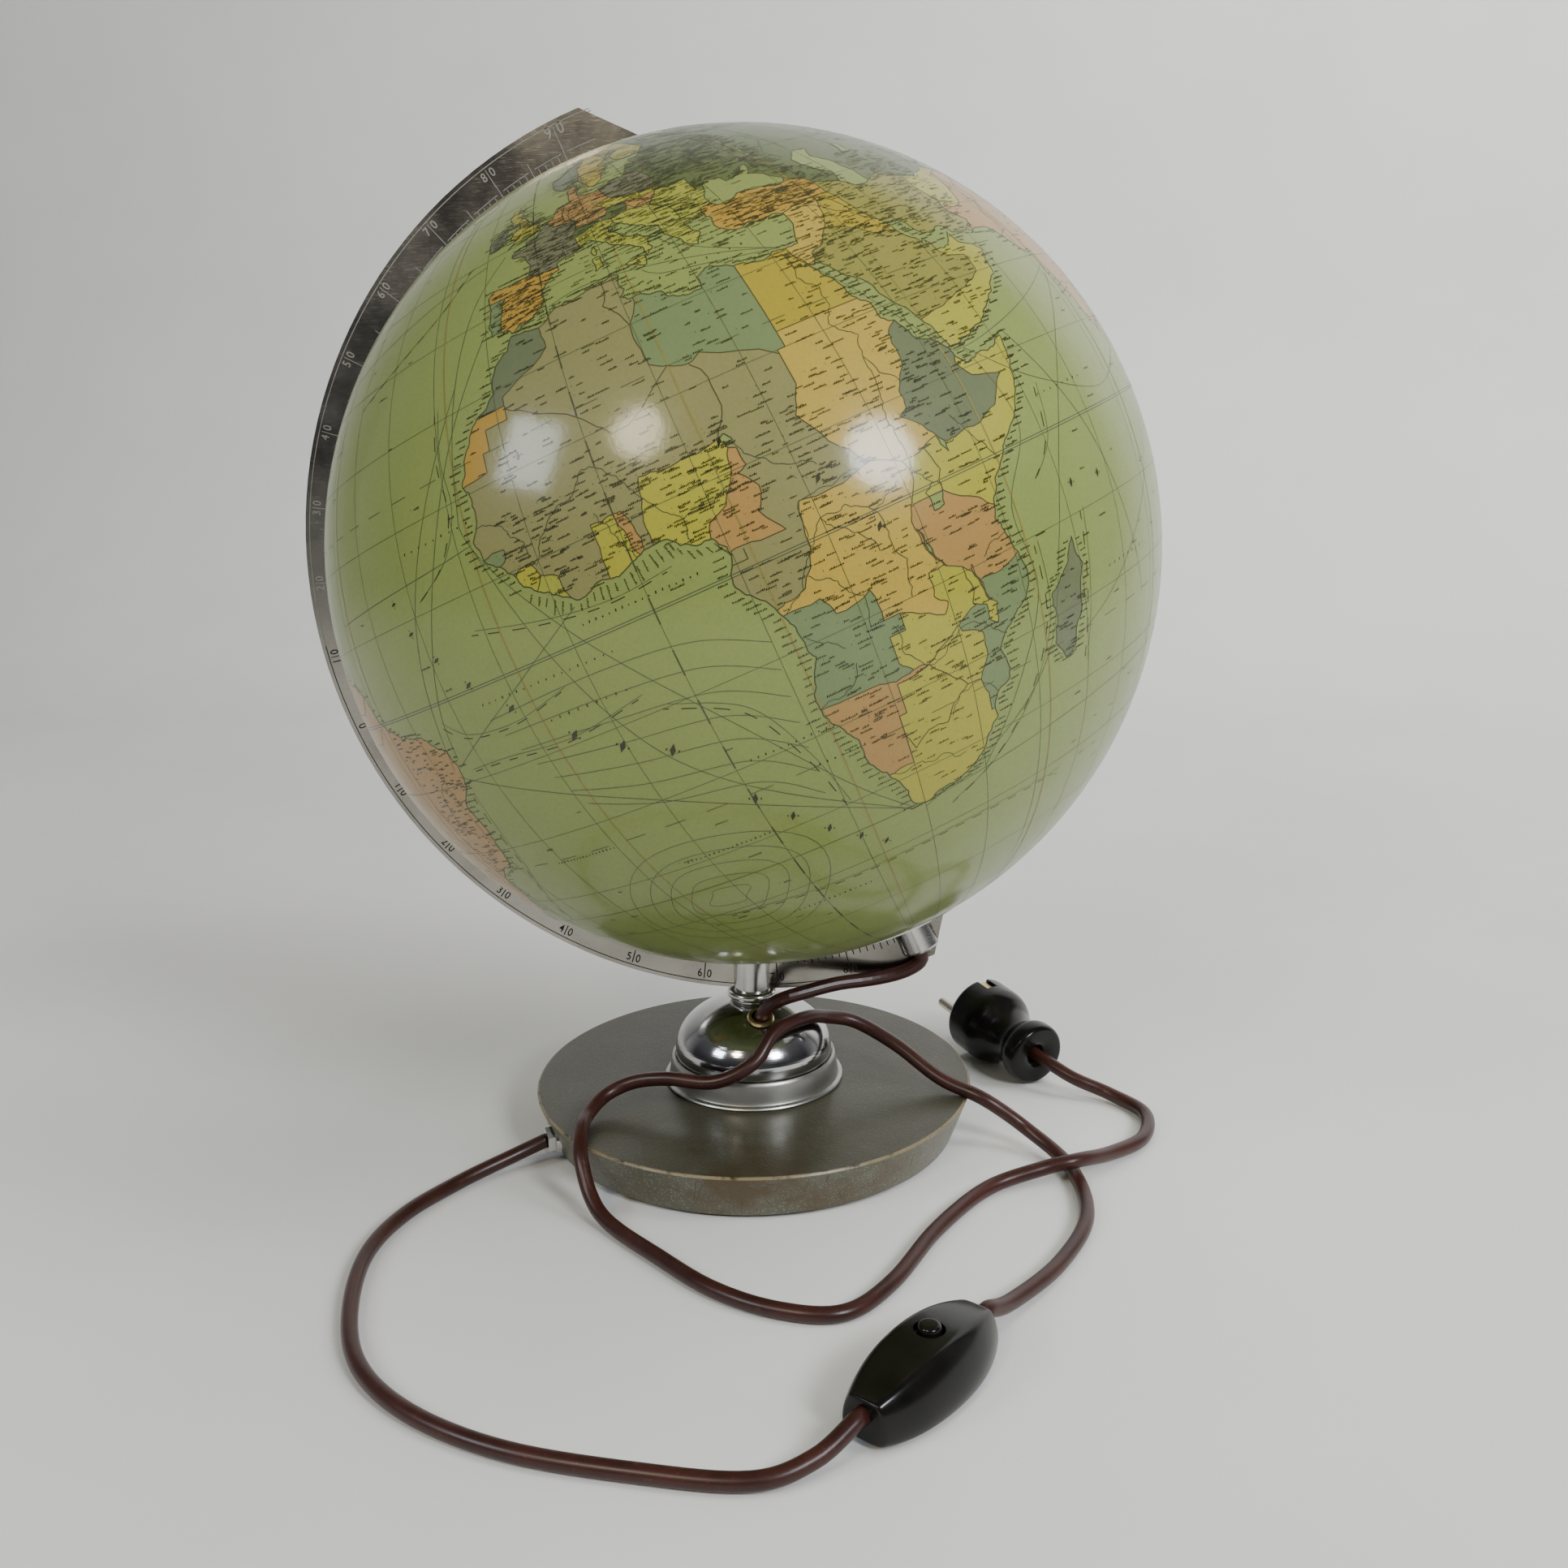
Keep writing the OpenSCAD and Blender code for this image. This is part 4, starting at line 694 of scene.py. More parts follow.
def globe_point(lon, lat, lift=0.0):
    lo, la = math.radians(lon) + SPIN, math.radians(lat)
    d = FRONT * (math.cos(la) * math.cos(lo)) + EAST0 * (math.cos(la) * math.sin(lo)) + NORTH * math.sin(la)
    return BALL_C + d * (BALL_R + lift)


def pairs(text):
    return [tuple(float(v) for v in p.split(",")) for p in text.split()]


def roughen(pts, amount, depth):
    """Adds smaller and smaller bends between the points of a given line."""
    for _ in range(depth):
        out = []
        for a, b in zip(pts, pts[1:]):
            dx, dy = b[0] - a[0], b[1] - a[1]
            s = rnd.uniform(-amount, amount)
            out += [a, ((a[0] + b[0]) / 2 - dy * s, (a[1] + b[1]) / 2 + dx * s)]
        pts = out + [pts[-1]]
    return pts


def straight(a, b):
    return abs(a[0] - b[0]) < 0.05 or abs(a[1] - b[1]) < 0.05


# one flat triangulation of the whole map, then each region is filled from its seeds
points, edges, edge_kind = [], [], []
where = {}


def point_id(p):
    key = (round(p[0], 4), round(p[1], 4))
    if key not in where:
        where[key] = len(points)
        points.append(Vector(key))
    return where[key]


def add_line(pts, kind):
    for a, b in zip(pts, pts[1:]):
        i, j = point_id(a), point_id(b)
        if i != j:
            edges.append((i, j))
            edge_kind.append(kind)


for name, text in COASTS.items():
    pts = pairs(text)
    ring = pts + [pts[0]]
    for a, b in zip(ring, ring[1:]):
        on_seam = abs(a[0]) > 179 and abs(b[0]) > 179
        shared = on_seam or {a, b} in (set(pairs(SUEZ)), set(pairs(DARIEN)))
        size = math.hypot(b[0] - a[0], b[1] - a[1])
        add_line([a, b] if shared else roughen([a, b], 0.13, 3 if size > 2.5 else 2), "coast")
for text in BORDERS:
    pts = pairs(text)
    for a, b in zip(pts, pts[1:]):
        add_line([a, b] if straight(a, b) else roughen([a, b], 0.09, 2), "border")
LAT_LOW, LAT_HIGH, CELL = -80.0, 87.5, 2.5
for i in range(int(360 / CELL) + 1):
    lon = -180 + CELL * i
    lat = LAT_LOW
    while lat <= LAT_HIGH:
        point_id((lon, lat))
        lat += CELL
tri_pts, tri_edges, tris, _, from_edges, _ = delaunay_2d_cdt(points, edges, [], 0, 1e-5)
lonlat = np.array([tuple(p) for p in tri_pts])
T = np.array(tris)
kind_of = {}
for e, src in zip(tri_edges, from_edges):
    if src:
        kinds = {edge_kind[s] for s in src if s < len(edge_kind)}
        if kinds:
            kind_of[frozenset(e)] = "coast" if "coast" in kinds else "border"
beside = {}
for f, t in enumerate(tris):
    for k in range(3):
        beside.setdefault(frozenset((t[k], t[(k + 1) % 3])), []).append(f)


def face_at(lon, lat):
    p = lonlat[T]
    d = [(p[:, (k + 1) % 3, 0] - p[:, k, 0]) * (lat - p[:, k, 1])
         - (p[:, (k + 1) % 3, 1] - p[:, k, 1]) * (lon - p[:, k, 0]) for k in range(3)]
    d = np.array(d)
    return int(np.argmax((d >= -1e-9).all(0) | (d <= 1e-9).all(0)))


inks = []
for col, text in SEEDS:
    if col not in inks:
        inks.append(col)
region = [-1] * len(tris)


def fill(start, value):
    todo = [start]
    region[start] = value
    while todo:
        f = todo.pop()
        t = tris[f]
        for k in range(3):
            e = frozenset((t[k], t[(k + 1) % 3]))
            if e in kind_of:
                continue
            for g in beside[e]:
                if region[g] < 0:
                    region[g] = value
                    todo.append(g)


for col, text in SEEDS:
    for lon, lat in pairs(text):
        f = face_at(lon, lat)
        if region[f] < 0:
            fill(f, inks.index(col))
# a piece that no seed lies in takes its neighbour's ink over a border, else over a coast
for allowed in ("border", "coast"):
    changed = True
    while changed:
        changed = False
        for e, fs in beside.items():
            if len(fs) == 2 and kind_of.get(e) in (None, allowed):
                for a, b in (fs, fs[::-1]):
                    if region[a] < 0 <= region[b] and (allowed == "coast" or inks[region[b]] != SEA):
                        fill(a, region[b])
                        changed = True

map_ball = new_mesh("map_ball", [globe_point(p[0], p[1]) for p in lonlat], tris)
me = map_ball.data
attr = me.color_attributes.new("ink", "FLOAT_COLOR", "CORNER")
cols = np.ones((len(me.loops), 4), np.float32)
face_col = np.array([inks[max(r, 0)] for r in region], np.float32)
loop_face = np.repeat(np.arange(len(me.polygons)), 3)
cols[:, :3] = face_col[loop_face]
attr.data.foreach_set("color", cols.ravel())
sample = [me.polygons[i] for i in range(0, len(me.polygons), 50)]
if sum(f.normal.dot(f.center - BALL_C) > 0 for f in sample) * 2 < len(sample):
    me.flip_normals()
place(map_ball, "globe", "map_paper", "map_skin")


# ---------------------------------------------------------------- printed lines and marks
class Print:
    """Thin flat ink marks just over the paper, gathered into one mesh."""

    def __init__(self):
        self.v, self.f, self.c = [], [], []

    def quad(self, a, b, c, d, ink):
        n = len(self.v)
        self.v += [a, b, c, d]
        self.f.append((n, n + 1, n + 2, n + 3))
        self.c += [ink] * 4

    def line(self, lonlats, width, ink, lift, dash=0):
        pts = [globe_point(lo, la, lift) for lo, la in lonlats]
        half = width * MM / 2
        side = []
        for i, p in enumerate(pts):
            t = pts[min(i + 1, len(pts) - 1)] - pts[max(i - 1, 0)]
            side.append((p - BALL_C).cross(t).normalized() * half)
        for i in range(len(pts) - 1):
            if dash and (i // dash) % 2:
                continue
            j = i + 1
            self.quad(pts[i] - side[i], pts[j] - side[j], pts[j] + side[j], pts[i] + side[i], ink)

    def build(self, name):
        ob = new_mesh(name, self.v, self.f)
        a = ob.data.color_attributes.new("ink", "FLOAT_COLOR", "POINT")
        a.data.foreach_set("color", np.array([(*c, 1) for c in self.c], np.float32).ravel())
        return ob


inkwork = Print()
sea_id = inks.index(SEA)
for e, kind in kind_of.items():
    fs = beside.get(e, [])
    if len(fs) < 2:
        continue
    wet = [region[f] == sea_id for f in fs]
    if all(wet):
        continue
    a, b = (tuple(lonlat[i]) for i in e)
    if abs(a[0]) > 179 and abs(b[0]) > 179:
        continue
    if any(wet):
        inkwork.line([a, b], 0.42, COAST_INK, 0.09 * MM)
    else:
        inkwork.line([a, b], 0.34, BORDER_INK, 0.08 * MM)


def parallel(lat, a=-180, b=180, step=1.5):
    n = int((b - a) / step)
    return [(a + (b - a) * i / n, lat) for i in range(n + 1)]


def meridian(lon, a=LAT_LOW, b=LAT_HIGH, step=1.5):
    n = int((b - a) / step)
    return [(lon, a + (b - a) * i / n) for i in range(n + 1)]


for lat in range(-70, 90, 10):
    if lat:
        inkwork.line(parallel(lat), 0.22, GRID_INK, 0.05 * MM)
for lat in (-66.5, -23.45, 23.45, 66.5):
    inkwork.line(parallel(lat), 0.30, GRID_INK, 0.05 * MM, 2)
for lat in (-0.15, 0.15):
    inkwork.line(parallel(lat), 0.30, (0.09, 0.11, 0.10), 0.05 * MM)
for lon in range(-180, 180, 10):
    top = 80 if lon % 90 else 87
    inkwork.line(meridian(lon, LAT_LOW, top), 0.22, GRID_INK, 0.05 * MM)
inkwork.line(meridian(0), 0.55, (0.07, 0.075, 0.05), 0.055 * MM, 2)
for lon in range(-168, 180, 30):
    inkwork.line(meridian(lon, LAT_LOW, 86), 0.55, (0.34, 0.27, 0.10), 0.052 * MM)
# ---------------------------------------------------------------- rivers, routes, currents and small print
RIVER_INK = (0.060, 0.085, 0.075)
ROUTE_INK = (0.095, 0.125, 0.105)
RIVERS = """31.2,30.8 31,27 32.8,25 32.5,22.5 31,20.5 33.5,18 32.5,15.6 32.3,12 31.5,9.5 31.7,5 31.5,2.2 \
33,0.4
32.5,15.6 35,11.5 37.5,11.2
-10.5,9.5 -8,12.5 -4,14.5 -1.5,16.9 0.2,16.3 3,12.5 5.2,9 6.8,7.5 6.5,4.8
12.5,-6 15.3,-4.3 17.5,-1 20,1.8 23,2 25.3,0.5 26,-3 27,-6 26,-10
16.3,-3.2 19,-5 21,-7.5 20.5,-11
17.7,-0.5 18.5,4.2 22.5,4.3 26,4.8
20,1.8 21,0.2 23,-1.2 24.5,-4
25.3,0.5 28,1.2 29.5,2
36.2,-18.7 33.5,-16.3 30.3,-15.6 27,-17.8 25,-17.8 23,-15.5 22.8,-12
16.6,-28.6 20,-28.8 24,-29.2 27.3,-30.5
33.5,-25 31.2,-22.4 28,-23 26.5,-25
-16.4,16 -13,15 -11,12.5 -11,10.5
0.6,5.9 -0.5,8.5 -2,12
6.8,7.5 10,8 13.4,9.3
14.5,12.8 17,10 20,8 22,7
13.5,-9.2 15.5,-10.5 17,-12
11.8,-17.2 15,-16.8 17.5,-14
42.5,-0.3 41,2 39.5,4.5 38.5,6
39.5,-8 37,-8.5 35.8,-9.5
48,30.5 46,31.5 43,33.8 40,36 38.5,38.5
47.5,31 45.5,33 43,36.5 41,38
-8.6,41.1 -5.5,41.5 -3,41.7
-9,38.8 -6,39.7 -2,40.5
0.8,40.8 -2,42
4.8,43.5 4.8,46 6,47.5
8.5,53 7,51 8,49 7.6,47.6
29.5,45.2 26,44 22,44.8 19,46 17,48.2 12,49 9,48.3
46.5,46 45,48.5 49,52 48,55.5 40,58
-36.4,-10.4 -40,-9 -43.5,-12 -44.5,-17
-50,-0.5 -55,-2.4 -60,-3.2""".splitlines()
ROUTES = """-9.8,38.5 -17,28 -24,15 -32,0 -34,-7
-6,49 -12,43 -16,33 -18.4,20 -18,14.5 -10,2 2,-14 12,-28 18,-34.5
-16,33 -30,10 -36,-8
18,-34.8 -10,-20 -36,-9
18,-35 -5.7,-16 -17.8,14
20,-35.5 33,-31 42,-24 47,-12 52,-2 60,8 72,18
31.9,31.6 25,34 15,36.5 5,37.8 -5.8,36
31.9,31.6 24,35.3 19,38.8 18.6,40.2
31.9,31.6 22,33.5 16,34.8 14.2,36.3
32.7,29.2 36,24 39.5,18 42.8,12.9 45,12.2 51,13 60,15 72,18.5
45,12.1 53,6 66,2 79,5.5
18,-35 50,-33 80,-32
45,12.1 47,2 41.5,-6 42,-16 36.3,-26 30,-34
-74,40 -40,45 -10,49
-34.5,-8 -20,-2 -8,3.8
-17.8,14.6 -26,14 -50,13
-58,-35.5 -30,-34.5 17,-34.6
52,12.5 58,0 62,-12 66,-24
44,-25 56,-21 70,-12 80,-2""".splitlines()
CURRENTS = """-20,31 -20.5,25 -20,19 -23,14 -29,11
-14,-4 -22,-5.5 -30,-5 -34,-2.5
-6,-8 -16,-9.5 -26,-9 -33,-9
10,-30 8,-22 4,-14 -4,-10
-22,5.5 -12,3.4 -4,2.6 3,3.2
-36,-12 -38,-22 -42,-29 -46,-35
43,-11 42.5,-20 38,-28 31,-34 24,-37
52,-10 50.5,-20 49,-28
52,5 50,-1 46,-4.5
-40,38 -30,41 -20,45 -14,50
-15,-41 5,-42 25,-41.5 45,-42""".splitlines()


def bend_line(pts, step=1.0):
    """A smooth curve through lon, lat points."""
    p = [pts[0]] + pts + [pts[-1]]
    out = []
    for i in range(1, len(p) - 2):
        a, b, c, d = (Vector(q) for q in p[i - 1:i + 3])
        n = max(2, int((c - b).length / step))
        for k in range(n):
            out.append(tuple(curve_at(a, b, c, d, k / n)))
    return out + [tuple(p[-2])]


for text in RIVERS:
    inkwork.line(roughen(pairs(text), 0.16, 3), 0.26, RIVER_INK, 0.07 * MM)
for text in ROUTES:
    inkwork.line(bend_line(pairs(text)), 0.24, ROUTE_INK, 0.06 * MM)
for k, text in enumerate(CURRENTS):
    line = bend_line(pairs(text), 0.5)
    inkwork.line(line, 0.34, TEXT_INK, 0.065 * MM, 3)
    inkwork.line([(lo + 0.7, la + 0.35) for lo, la in line], 0.20, ROUTE_INK, 0.06 * MM)
# depth lines in the south Atlantic: a fan, then nested ovals
for k in range(7):
    fan = [(-25 + k, -4 - 2.2 * k), (-10, -3.5 - 2.8 * k), (2, -4.5 - 3.0 * k), (10 - 0.3 * k, -8 - 3.2 * k)]
    inkwork.line(bend_line(fan), 0.22, ROUTE_INK, 0.06 * MM)
for k in range(5):
    oval = [(-12 + (3.5 + 3.2 * k) * math.cos(a) + 0.8 * math.sin(3 * a), -37 + (1.8 + 2.2 * k) * math.sin(a))
            for a in np.linspace(0, 2 * math.pi, 40)]
    inkwork.line(oval, 0.20, ROUTE_INK, 0.06 * MM)


def script_row(lon, lat, n, turn=0.0, size=0.85, gap=0.24, ink=TEXT_INK):
    """n small upright dashes in a row: small print too fine to read."""
    lo = lon
    la = lat
    deg = 180 / (math.pi * BALL_R / MM)
    ct, st = math.cos(turn), math.sin(turn)
    for _ in range(n):
        w = size * rnd.uniform(0.30, 0.50)
        h = size * rnd.choice((0.52, 0.52, 0.58, 0.84, 0.84))
        lean = 0.2 * h
        squeeze = max(0.2, math.cos(math.radians(la)))
        corner = [globe_point(lo + (u * ct - v * st) * deg / squeeze, la + (u * st + v * ct) * deg, 0.11 * MM)
                  for u, v in ((0, 0), (w, 0), (w + lean, h), (lean, h))]
        inkwork.quad(*corner, ink)
        go = w + gap * size
        lo += go * ct * deg / squeeze
        la += go * st * deg


def scatter(count, lon_lo, lon_hi, lat_lo, lat_hi, on_land=True, size=0.8):
    for _ in range(count):
        lo, la = rnd.uniform(lon_lo, lon_hi), rnd.uniform(lat_lo, lat_hi)
        if (region[face_at(lo, la)] != sea_id) == on_land:
            script_row(lo, la, rnd.randint(4, 10), size=size)
            if rnd.random() < 0.5:
                script_row(lo - 0.7, la + 0.2, 1, size=0.5)


scatter(620, -17, 36, -34, 37)
scatter(330, 8, 40, -22, 14)
scatter(200, -14, 14, 4, 16)
scatter(2500, -10, 44, 36, 60, size=0.66)
scatter(620, 30, 66, 28, 44, size=0.66)
scatter(380, 34, 62, 12, 32, size=0.7)
scatter(260, -48, -34, -24, -1, size=0.72)
scatter(230, 62, 110, 8, 60)
scatter(260, 10, 60, 60, 70)
scatter(150, 36, 52, -26, 12)
scatter(260, -125, -60, -50, 60)
scatter(90, 110, 180, -44, 60)
scatter(46, -60, 5, -60, 45, on_land=False)
scatter(60, 42, 85, -45, 20, on_land=False)
scatter(70, 2, 34, 31, 44, on_land=False, size=0.65)
scatter(60, -180, 180, -60, 60, on_land=False)
# names of ports stand off the coast, one under the other, over the sea
for name, step, chance in (
        ("africa", 0.95, 1.0), ("madagascar", 0.8, 1.0), ("eurasia", 1.0, 0.75), ("s_america", 1.1, 0.9),
        ("britain", 0.9, 0.9), ("ireland", 0.9, 0.9), ("sicily", 1, 1), ("sardinia", 1, 1), ("crete", 1, 1)):
    pts = pairs(COASTS[name])
    pts.append(pts[0])
    run = 0.0
    for a, b in zip(pts, pts[1:]):
        d = math.hypot(b[0] - a[0], b[1] - a[1])
        side = Vector((b[1] - a[1], a[0] - b[0])) / max(d, 1e-6)
        probe = ((a[0] + b[0]) / 2 + side.x * 0.6, (a[1] + b[1]) / 2 + side.y * 0.6)
        if region[face_at(*probe)] != sea_id:
            side = -side
        t = step - run
        while t < d:
            if rnd.random() < chance:
                lo = a[0] + (b[0] - a[0]) * t / d + side.x * 0.35
                la = a[1] + (b[1] - a[1]) * t / d + side.y * 0.35
                n = rnd.randint(5, 10)
                guinea = -13 < lo < 9.5 and 3.5 < la < 9
                if guinea:
                    turn = math.atan2(-1, 0.0) + (lo + 1) * 0.055 + rnd.uniform(-0.06, 0.06)
                    script_row(lo, la - 0.2, n, turn=turn, size=0.8)
                elif side.x < -0.25:
                    script_row(lo - n * 0.19, la, n, size=0.8)
                else:
                    script_row(lo, la, n, size=0.8)
            t += step
        run = (run + d) % step
# wide-set titles of currents and seas, as unreadable dashes
for lo, la, n, g in (
        (-25, -2.2, 18, 2.6), (-17, -6.6, 9, 3.0), (2, -19.6, 15, 2.0), (-8, 1.6, 18, 1.8),
        (9, -23.5, 7, 2.0), (14, 34, 9, 3.4), (52, 4, 8, 3.2), (-13, -29.5, 20, 1.2),
        (-31, -24, 18, 1.1), (-6, -44.5, 16, 1.4), (56, -18, 9, 3.0), (-29, 17, 9, 3.2)):
    script_row(lo, la, n, size=1.1, gap=g)


def ornament(lon, lat, turn, tall):
    """A small lozenge between two dots, where the print has a wide-set title; it spells nothing."""
    deg = 180 / (math.pi * BALL_R / MM)
    squeeze = math.cos(math.radians(lat))
    ct, st = math.cos(turn), math.sin(turn)
    for at, w, h in ((0, 0.17, 0.42), (-0.36, 0.06, 0.10), (0.36, 0.06, 0.10)):
        corners = [(at - w, 0), (at, -h), (at + w, 0), (at, h)]
        inkwork.quad(*[globe_point(lon + (u * ct - v * st) * tall * deg / squeeze,
                                   lat + (u * st + v * ct) * tall * deg, 0.12 * MM)
                       for u, v in corners], (0.014, 0.013, 0.010))


for lo, la, turn, tall in (
        (-33.5, 12.5, -1.35, 3.6), (-31.8, 8.5, -1.3, 3.8), (-29, 4.6, -1.2, 4.0),
        (-25.6, 0.6, -1.1, 4.6), (-21.2, -3.6, -1.05, 5.0), (-15.2, -9.0, -0.9, 5.6),
        (-10.5, -12.2, -0.75, 5.8), (-5.4, -14.8, -0.6, 5.8), (0.2, -24.2, -0.45, 5.4),
        (3.2, -28.4, -0.5, 4.8), (6.6, -32.2, -0.55, 4.6), (10.0, -35.4, -0.6, 4.4),
        (13.0, -38.0, -0.65, 4.2), (-8.5, 21.5, -0.1, 3.8), (5.5, 20.5, -0.4, 4.2),
        (13.6, 13.4, -0.5, 4.2), (21.5, 5.6, -0.7, 4.2), (25.5, -1.6, -0.6, 4.4),
        (51.8, -6.5, -0.2, 4.2), (57.5, -7.0, -0.2, 4.2)):
    ornament(lo, la, turn, tall)

map_lines = inkwork.build("map_lines")
place(map_lines, "globe", "map_paper")

# ---------------------------------------------------------------- scale cut into the half ring's faces
RING_T = 4.0


def ring_frame(lat_deg, face):
    """Outward and clockwise directions on a face of the plate."""
    a = math.radians(lat_deg)
    out = -EAST0 * math.cos(a) + NORTH * math.sin(a)
    right = Vector((out.z, 0, -out.x)) * -face
    return out, right


marks_v, marks_f = [], []


def mark(lat_deg, face, r0, r1, w, shift=0.0):
    out, right = ring_frame(lat_deg, face)
    y = Vector((0, face * (RING_T / 2 + 0.05) * MM, 0))
    n = len(marks_v)
    for r, u in ((r0, -w / 2), (r0, w / 2), (r1, w / 2), (r1, -w / 2)):
        marks_v.append(BALL_C + y + out * (r * MM) + right * ((u + shift) * MM))
    marks_f.append((n, n + 1, n + 2, n + 3))


digit_me = {}
for ch in "0123456789":
    cu = bpy.data.curves.new("digit_" + ch, "FONT")
    cu.body = ch
    cu.align_x, cu.align_y = "CENTER", "CENTER"
    cu.size = 5.2
    cu.resolution_u = 4
    cu.offset = 0.06
    ob = bpy.data.objects.new("digit_" + ch, cu)
    bpy.context.scene.collection.objects.link(ob)
    bpy.context.view_layer.update()
    digit_me[ch] = bpy.data.meshes.new_from_object(ob)
    bpy.data.objects.remove(ob)


def digit(ch, lat_deg, face, shift):
    out, right = ring_frame(lat_deg, face)
    up = out if lat_deg >= 0 else -out
    along = right if lat_deg >= 0 else -right
    me = digit_me[ch]
    y = Vector((0, face * (RING_T / 2 + 0.05) * MM, 0))
    n = len(marks_v)
    grow = 1.3 if lat_deg == 90 else 1.0
    for v in me.vertices:
        marks_v.append(BALL_C + y + out * ((187.2 if lat_deg == 90 else 186.4) * MM)
                       + along * ((v.co.x * 0.85 + shift) * grow * MM) + up * (v.co.y * grow * MM))
    marks_f.extend(tuple(n + i for i in p.vertices) for p in me.polygons)


for face in (-1, 1):
    for lat in range(-88, 91):
        bold = 1.0 if lat > 5 else 1.5
        if lat % 10 == 0 and lat != 0:
            mark(lat, face, 174.4, 188.6, 0.34 * bold)
            digits = str(abs(lat))
            digit(digits[0], lat, face, -2.1)
            digit(digits[1], lat, face, 2.1)
        elif lat == 0:
            mark(lat, face, 174.4, 182.5, 0.50)
            digit("0", lat, face, 0)
        elif lat % 5 == 0:
            mark(lat, face, 174.4, 181.2, 0.32 * bold)
        else:
            mark(lat, face, 175.0, 180.4 if lat < -67 else 177.4, 0.30 * bold)
    for i in range(-84 * 2, 95 * 2):
        lat = i / 2 + 0.25
        if abs(lat - round(lat / 5) * 5) > 0.35:
            mark(lat, face, 177.7, 178.05, 0.5 * math.pi / 180 * 178 + 0.05)
        mark(lat, face, 189.4, 189.8, 0.5 * math.pi / 180 * 189.6 + 0.05)
ring_scale = new_mesh("ring_scale", marks_v, marks_f, False)
place(ring_scale, "stand", "bright")

# ---------------------------------------------------------------- print and scale materials
def map_paper(name):
    """Printed paper under aged varnish: blotches, fine grain, rubbed gore seams."""
    m = Mat(name, Coat_Weight=0.60, Coat_Roughness=0.13, Specular_IOR_Level=0.15)
    ink = m.attribute("ink")
    blotch = m.noise(9, 5, 0.6)
    grain = m.noise(850, 2, 0.6)
    col = m.mix(m.ramp(blotch, (0.30, 0.0), (0.75, 0.20)), ink, (0.23, 0.21, 0.07), "MIX")
    col = m.mix(m.ramp(m.noise(60, 5, 0.6), (0.45, 0.0), (0.80, 0.10)), col, (0.45, 0.42, 0.22))
    col = m.mix(m.ramp(grain, (0.40, 0.0), (0.70, 0.10)), col, (0.10, 0.11, 0.05))
    m.to(m.mix(1.0, col, (0.57, 0.60, 0.42), "MULTIPLY"), "Base Color")
    m.to(m.math("MULTIPLY_ADD", blotch, 0.20, 0.34), "Roughness")
    m.bump(m.noise(34, 3, 0.5), 0.05, 0.4 * MM)
    skin = m.add("ShaderNodeBump", Height=m.noise(420, 3, 0.6), Strength=0.30, Distance=0.10 * MM)
    m.to(skin.outputs["Normal"], "Coat Normal")
    return m


def scale_marks():
    """Cut marks with painted highlight and shade: bright where the plate shades, dark below the equator."""
    m = Mat("scale_marks", Specular_IOR_Level=0.1)
    z = m.xyz()[2]
    cloud = m.noise(300, 4, 0.6)
    # painted highlight above 0.215 m, painted shade below it
    col = m.mix(m.math("LESS_THAN", z, 0.215), (0.24, 0.235, 0.215), (0.020, 0.018, 0.015))
    m.to(m.mix(m.ramp(cloud, (0.4, 0), (0.8, 0.35)), col, (0.07, 0.065, 0.055)), "Base Color")
    m.to(m.math("MULTIPLY_ADD", cloud, 0.2, 0.5), "Roughness")
    return m


scale_ink = scale_marks()
paint([ring_scale], scale_ink)
paint([map_ball], map_paper("map_print"))
paint([map_lines], map_paper("map_ink"))
paint(["map_skin"], map_paper("map_under"))

# ---------------------------------------------------------------- switch shell: one smooth moulded form
def loft(name, sections, levels):
    """Closed cage through rings of points, smoothed by subdivision."""
    rows, sides = len(sections), len(sections[0])
    ob = new_mesh(name, [v for ring in sections for v in ring], skin(rows, sides) + ends(rows, sides))
    sub = ob.modifiers.new("smooth", "SUBSURF")
    sub.levels = sub.render_levels = levels
    return ob


SW_HALF = 32.6
SW_MID = -1.4


def switch_section(t, inset=0.0):
    """A section of the shell at t of its half length: flat top, sloped flanks, narrow foot."""
    near = min(1.0, abs(t))
    wide = 8.2 + 7.7 * (1 - near ** 2.3) - inset
    tall = 16.2 + 6.0 * (1 - near ** 2.1) - inset
    top = 5.4 + 4.4 * (1 - near ** 2.2) - inset * 0.5
    low = 0.1 + 1.8 * near ** 5 + inset * 0.7
    shoulder = tall * (0.60 - 0.12 * (1 - near))
    flank = [(wide * 0.80, low), (wide, low + 2.4), (wide, shoulder), (top * 1.10, tall - 0.4),
             (top * 0.80, tall)]
    ring = [(-wide * 0.80, low)] + flank + [(-y, z) for y, z in flank[:0:-1]]
    return [switch_point(SW_MID + t * SW_HALF, y, z) for y, z in ring]


stations = (-1.003, -0.997, -0.94, -0.76, -0.44, 0, 0.44, 0.76, 0.94, 0.997, 1.003)
shell = loft("switch_shell", [switch_section(t, 1.0 if abs(t) > 1 else 0.0) for t in stations], 4)
ROCKER_X = 2.0
WELL_R = 5.3
ROUND = 40
around = [2 * math.pi * k / ROUND for k in range(ROUND)]
well = new_mesh("well_cutter", [switch_point(ROCKER_X + WELL_R * math.cos(a), WELL_R * math.sin(a), z)
                                for z in (14.5, 40) for a in around], ends(2, ROUND) + skin(2, ROUND))
cut = shell.modifiers.new("rocker_well", "BOOLEAN")
cut.object = well
cut.solver = "EXACT"
bpy.context.view_layer.update()
done = bpy.data.meshes.new_from_object(shell.evaluated_get(bpy.context.evaluated_depsgraph_get()))
shell.modifiers.clear()
shell.data = done
bpy.data.objects.remove(well)
done.set_sharp_from_angle(angle=math.radians(40))
place(shell, "stand", "bakelite", "switch_lower", "switch_upper")
paint([shell], black)
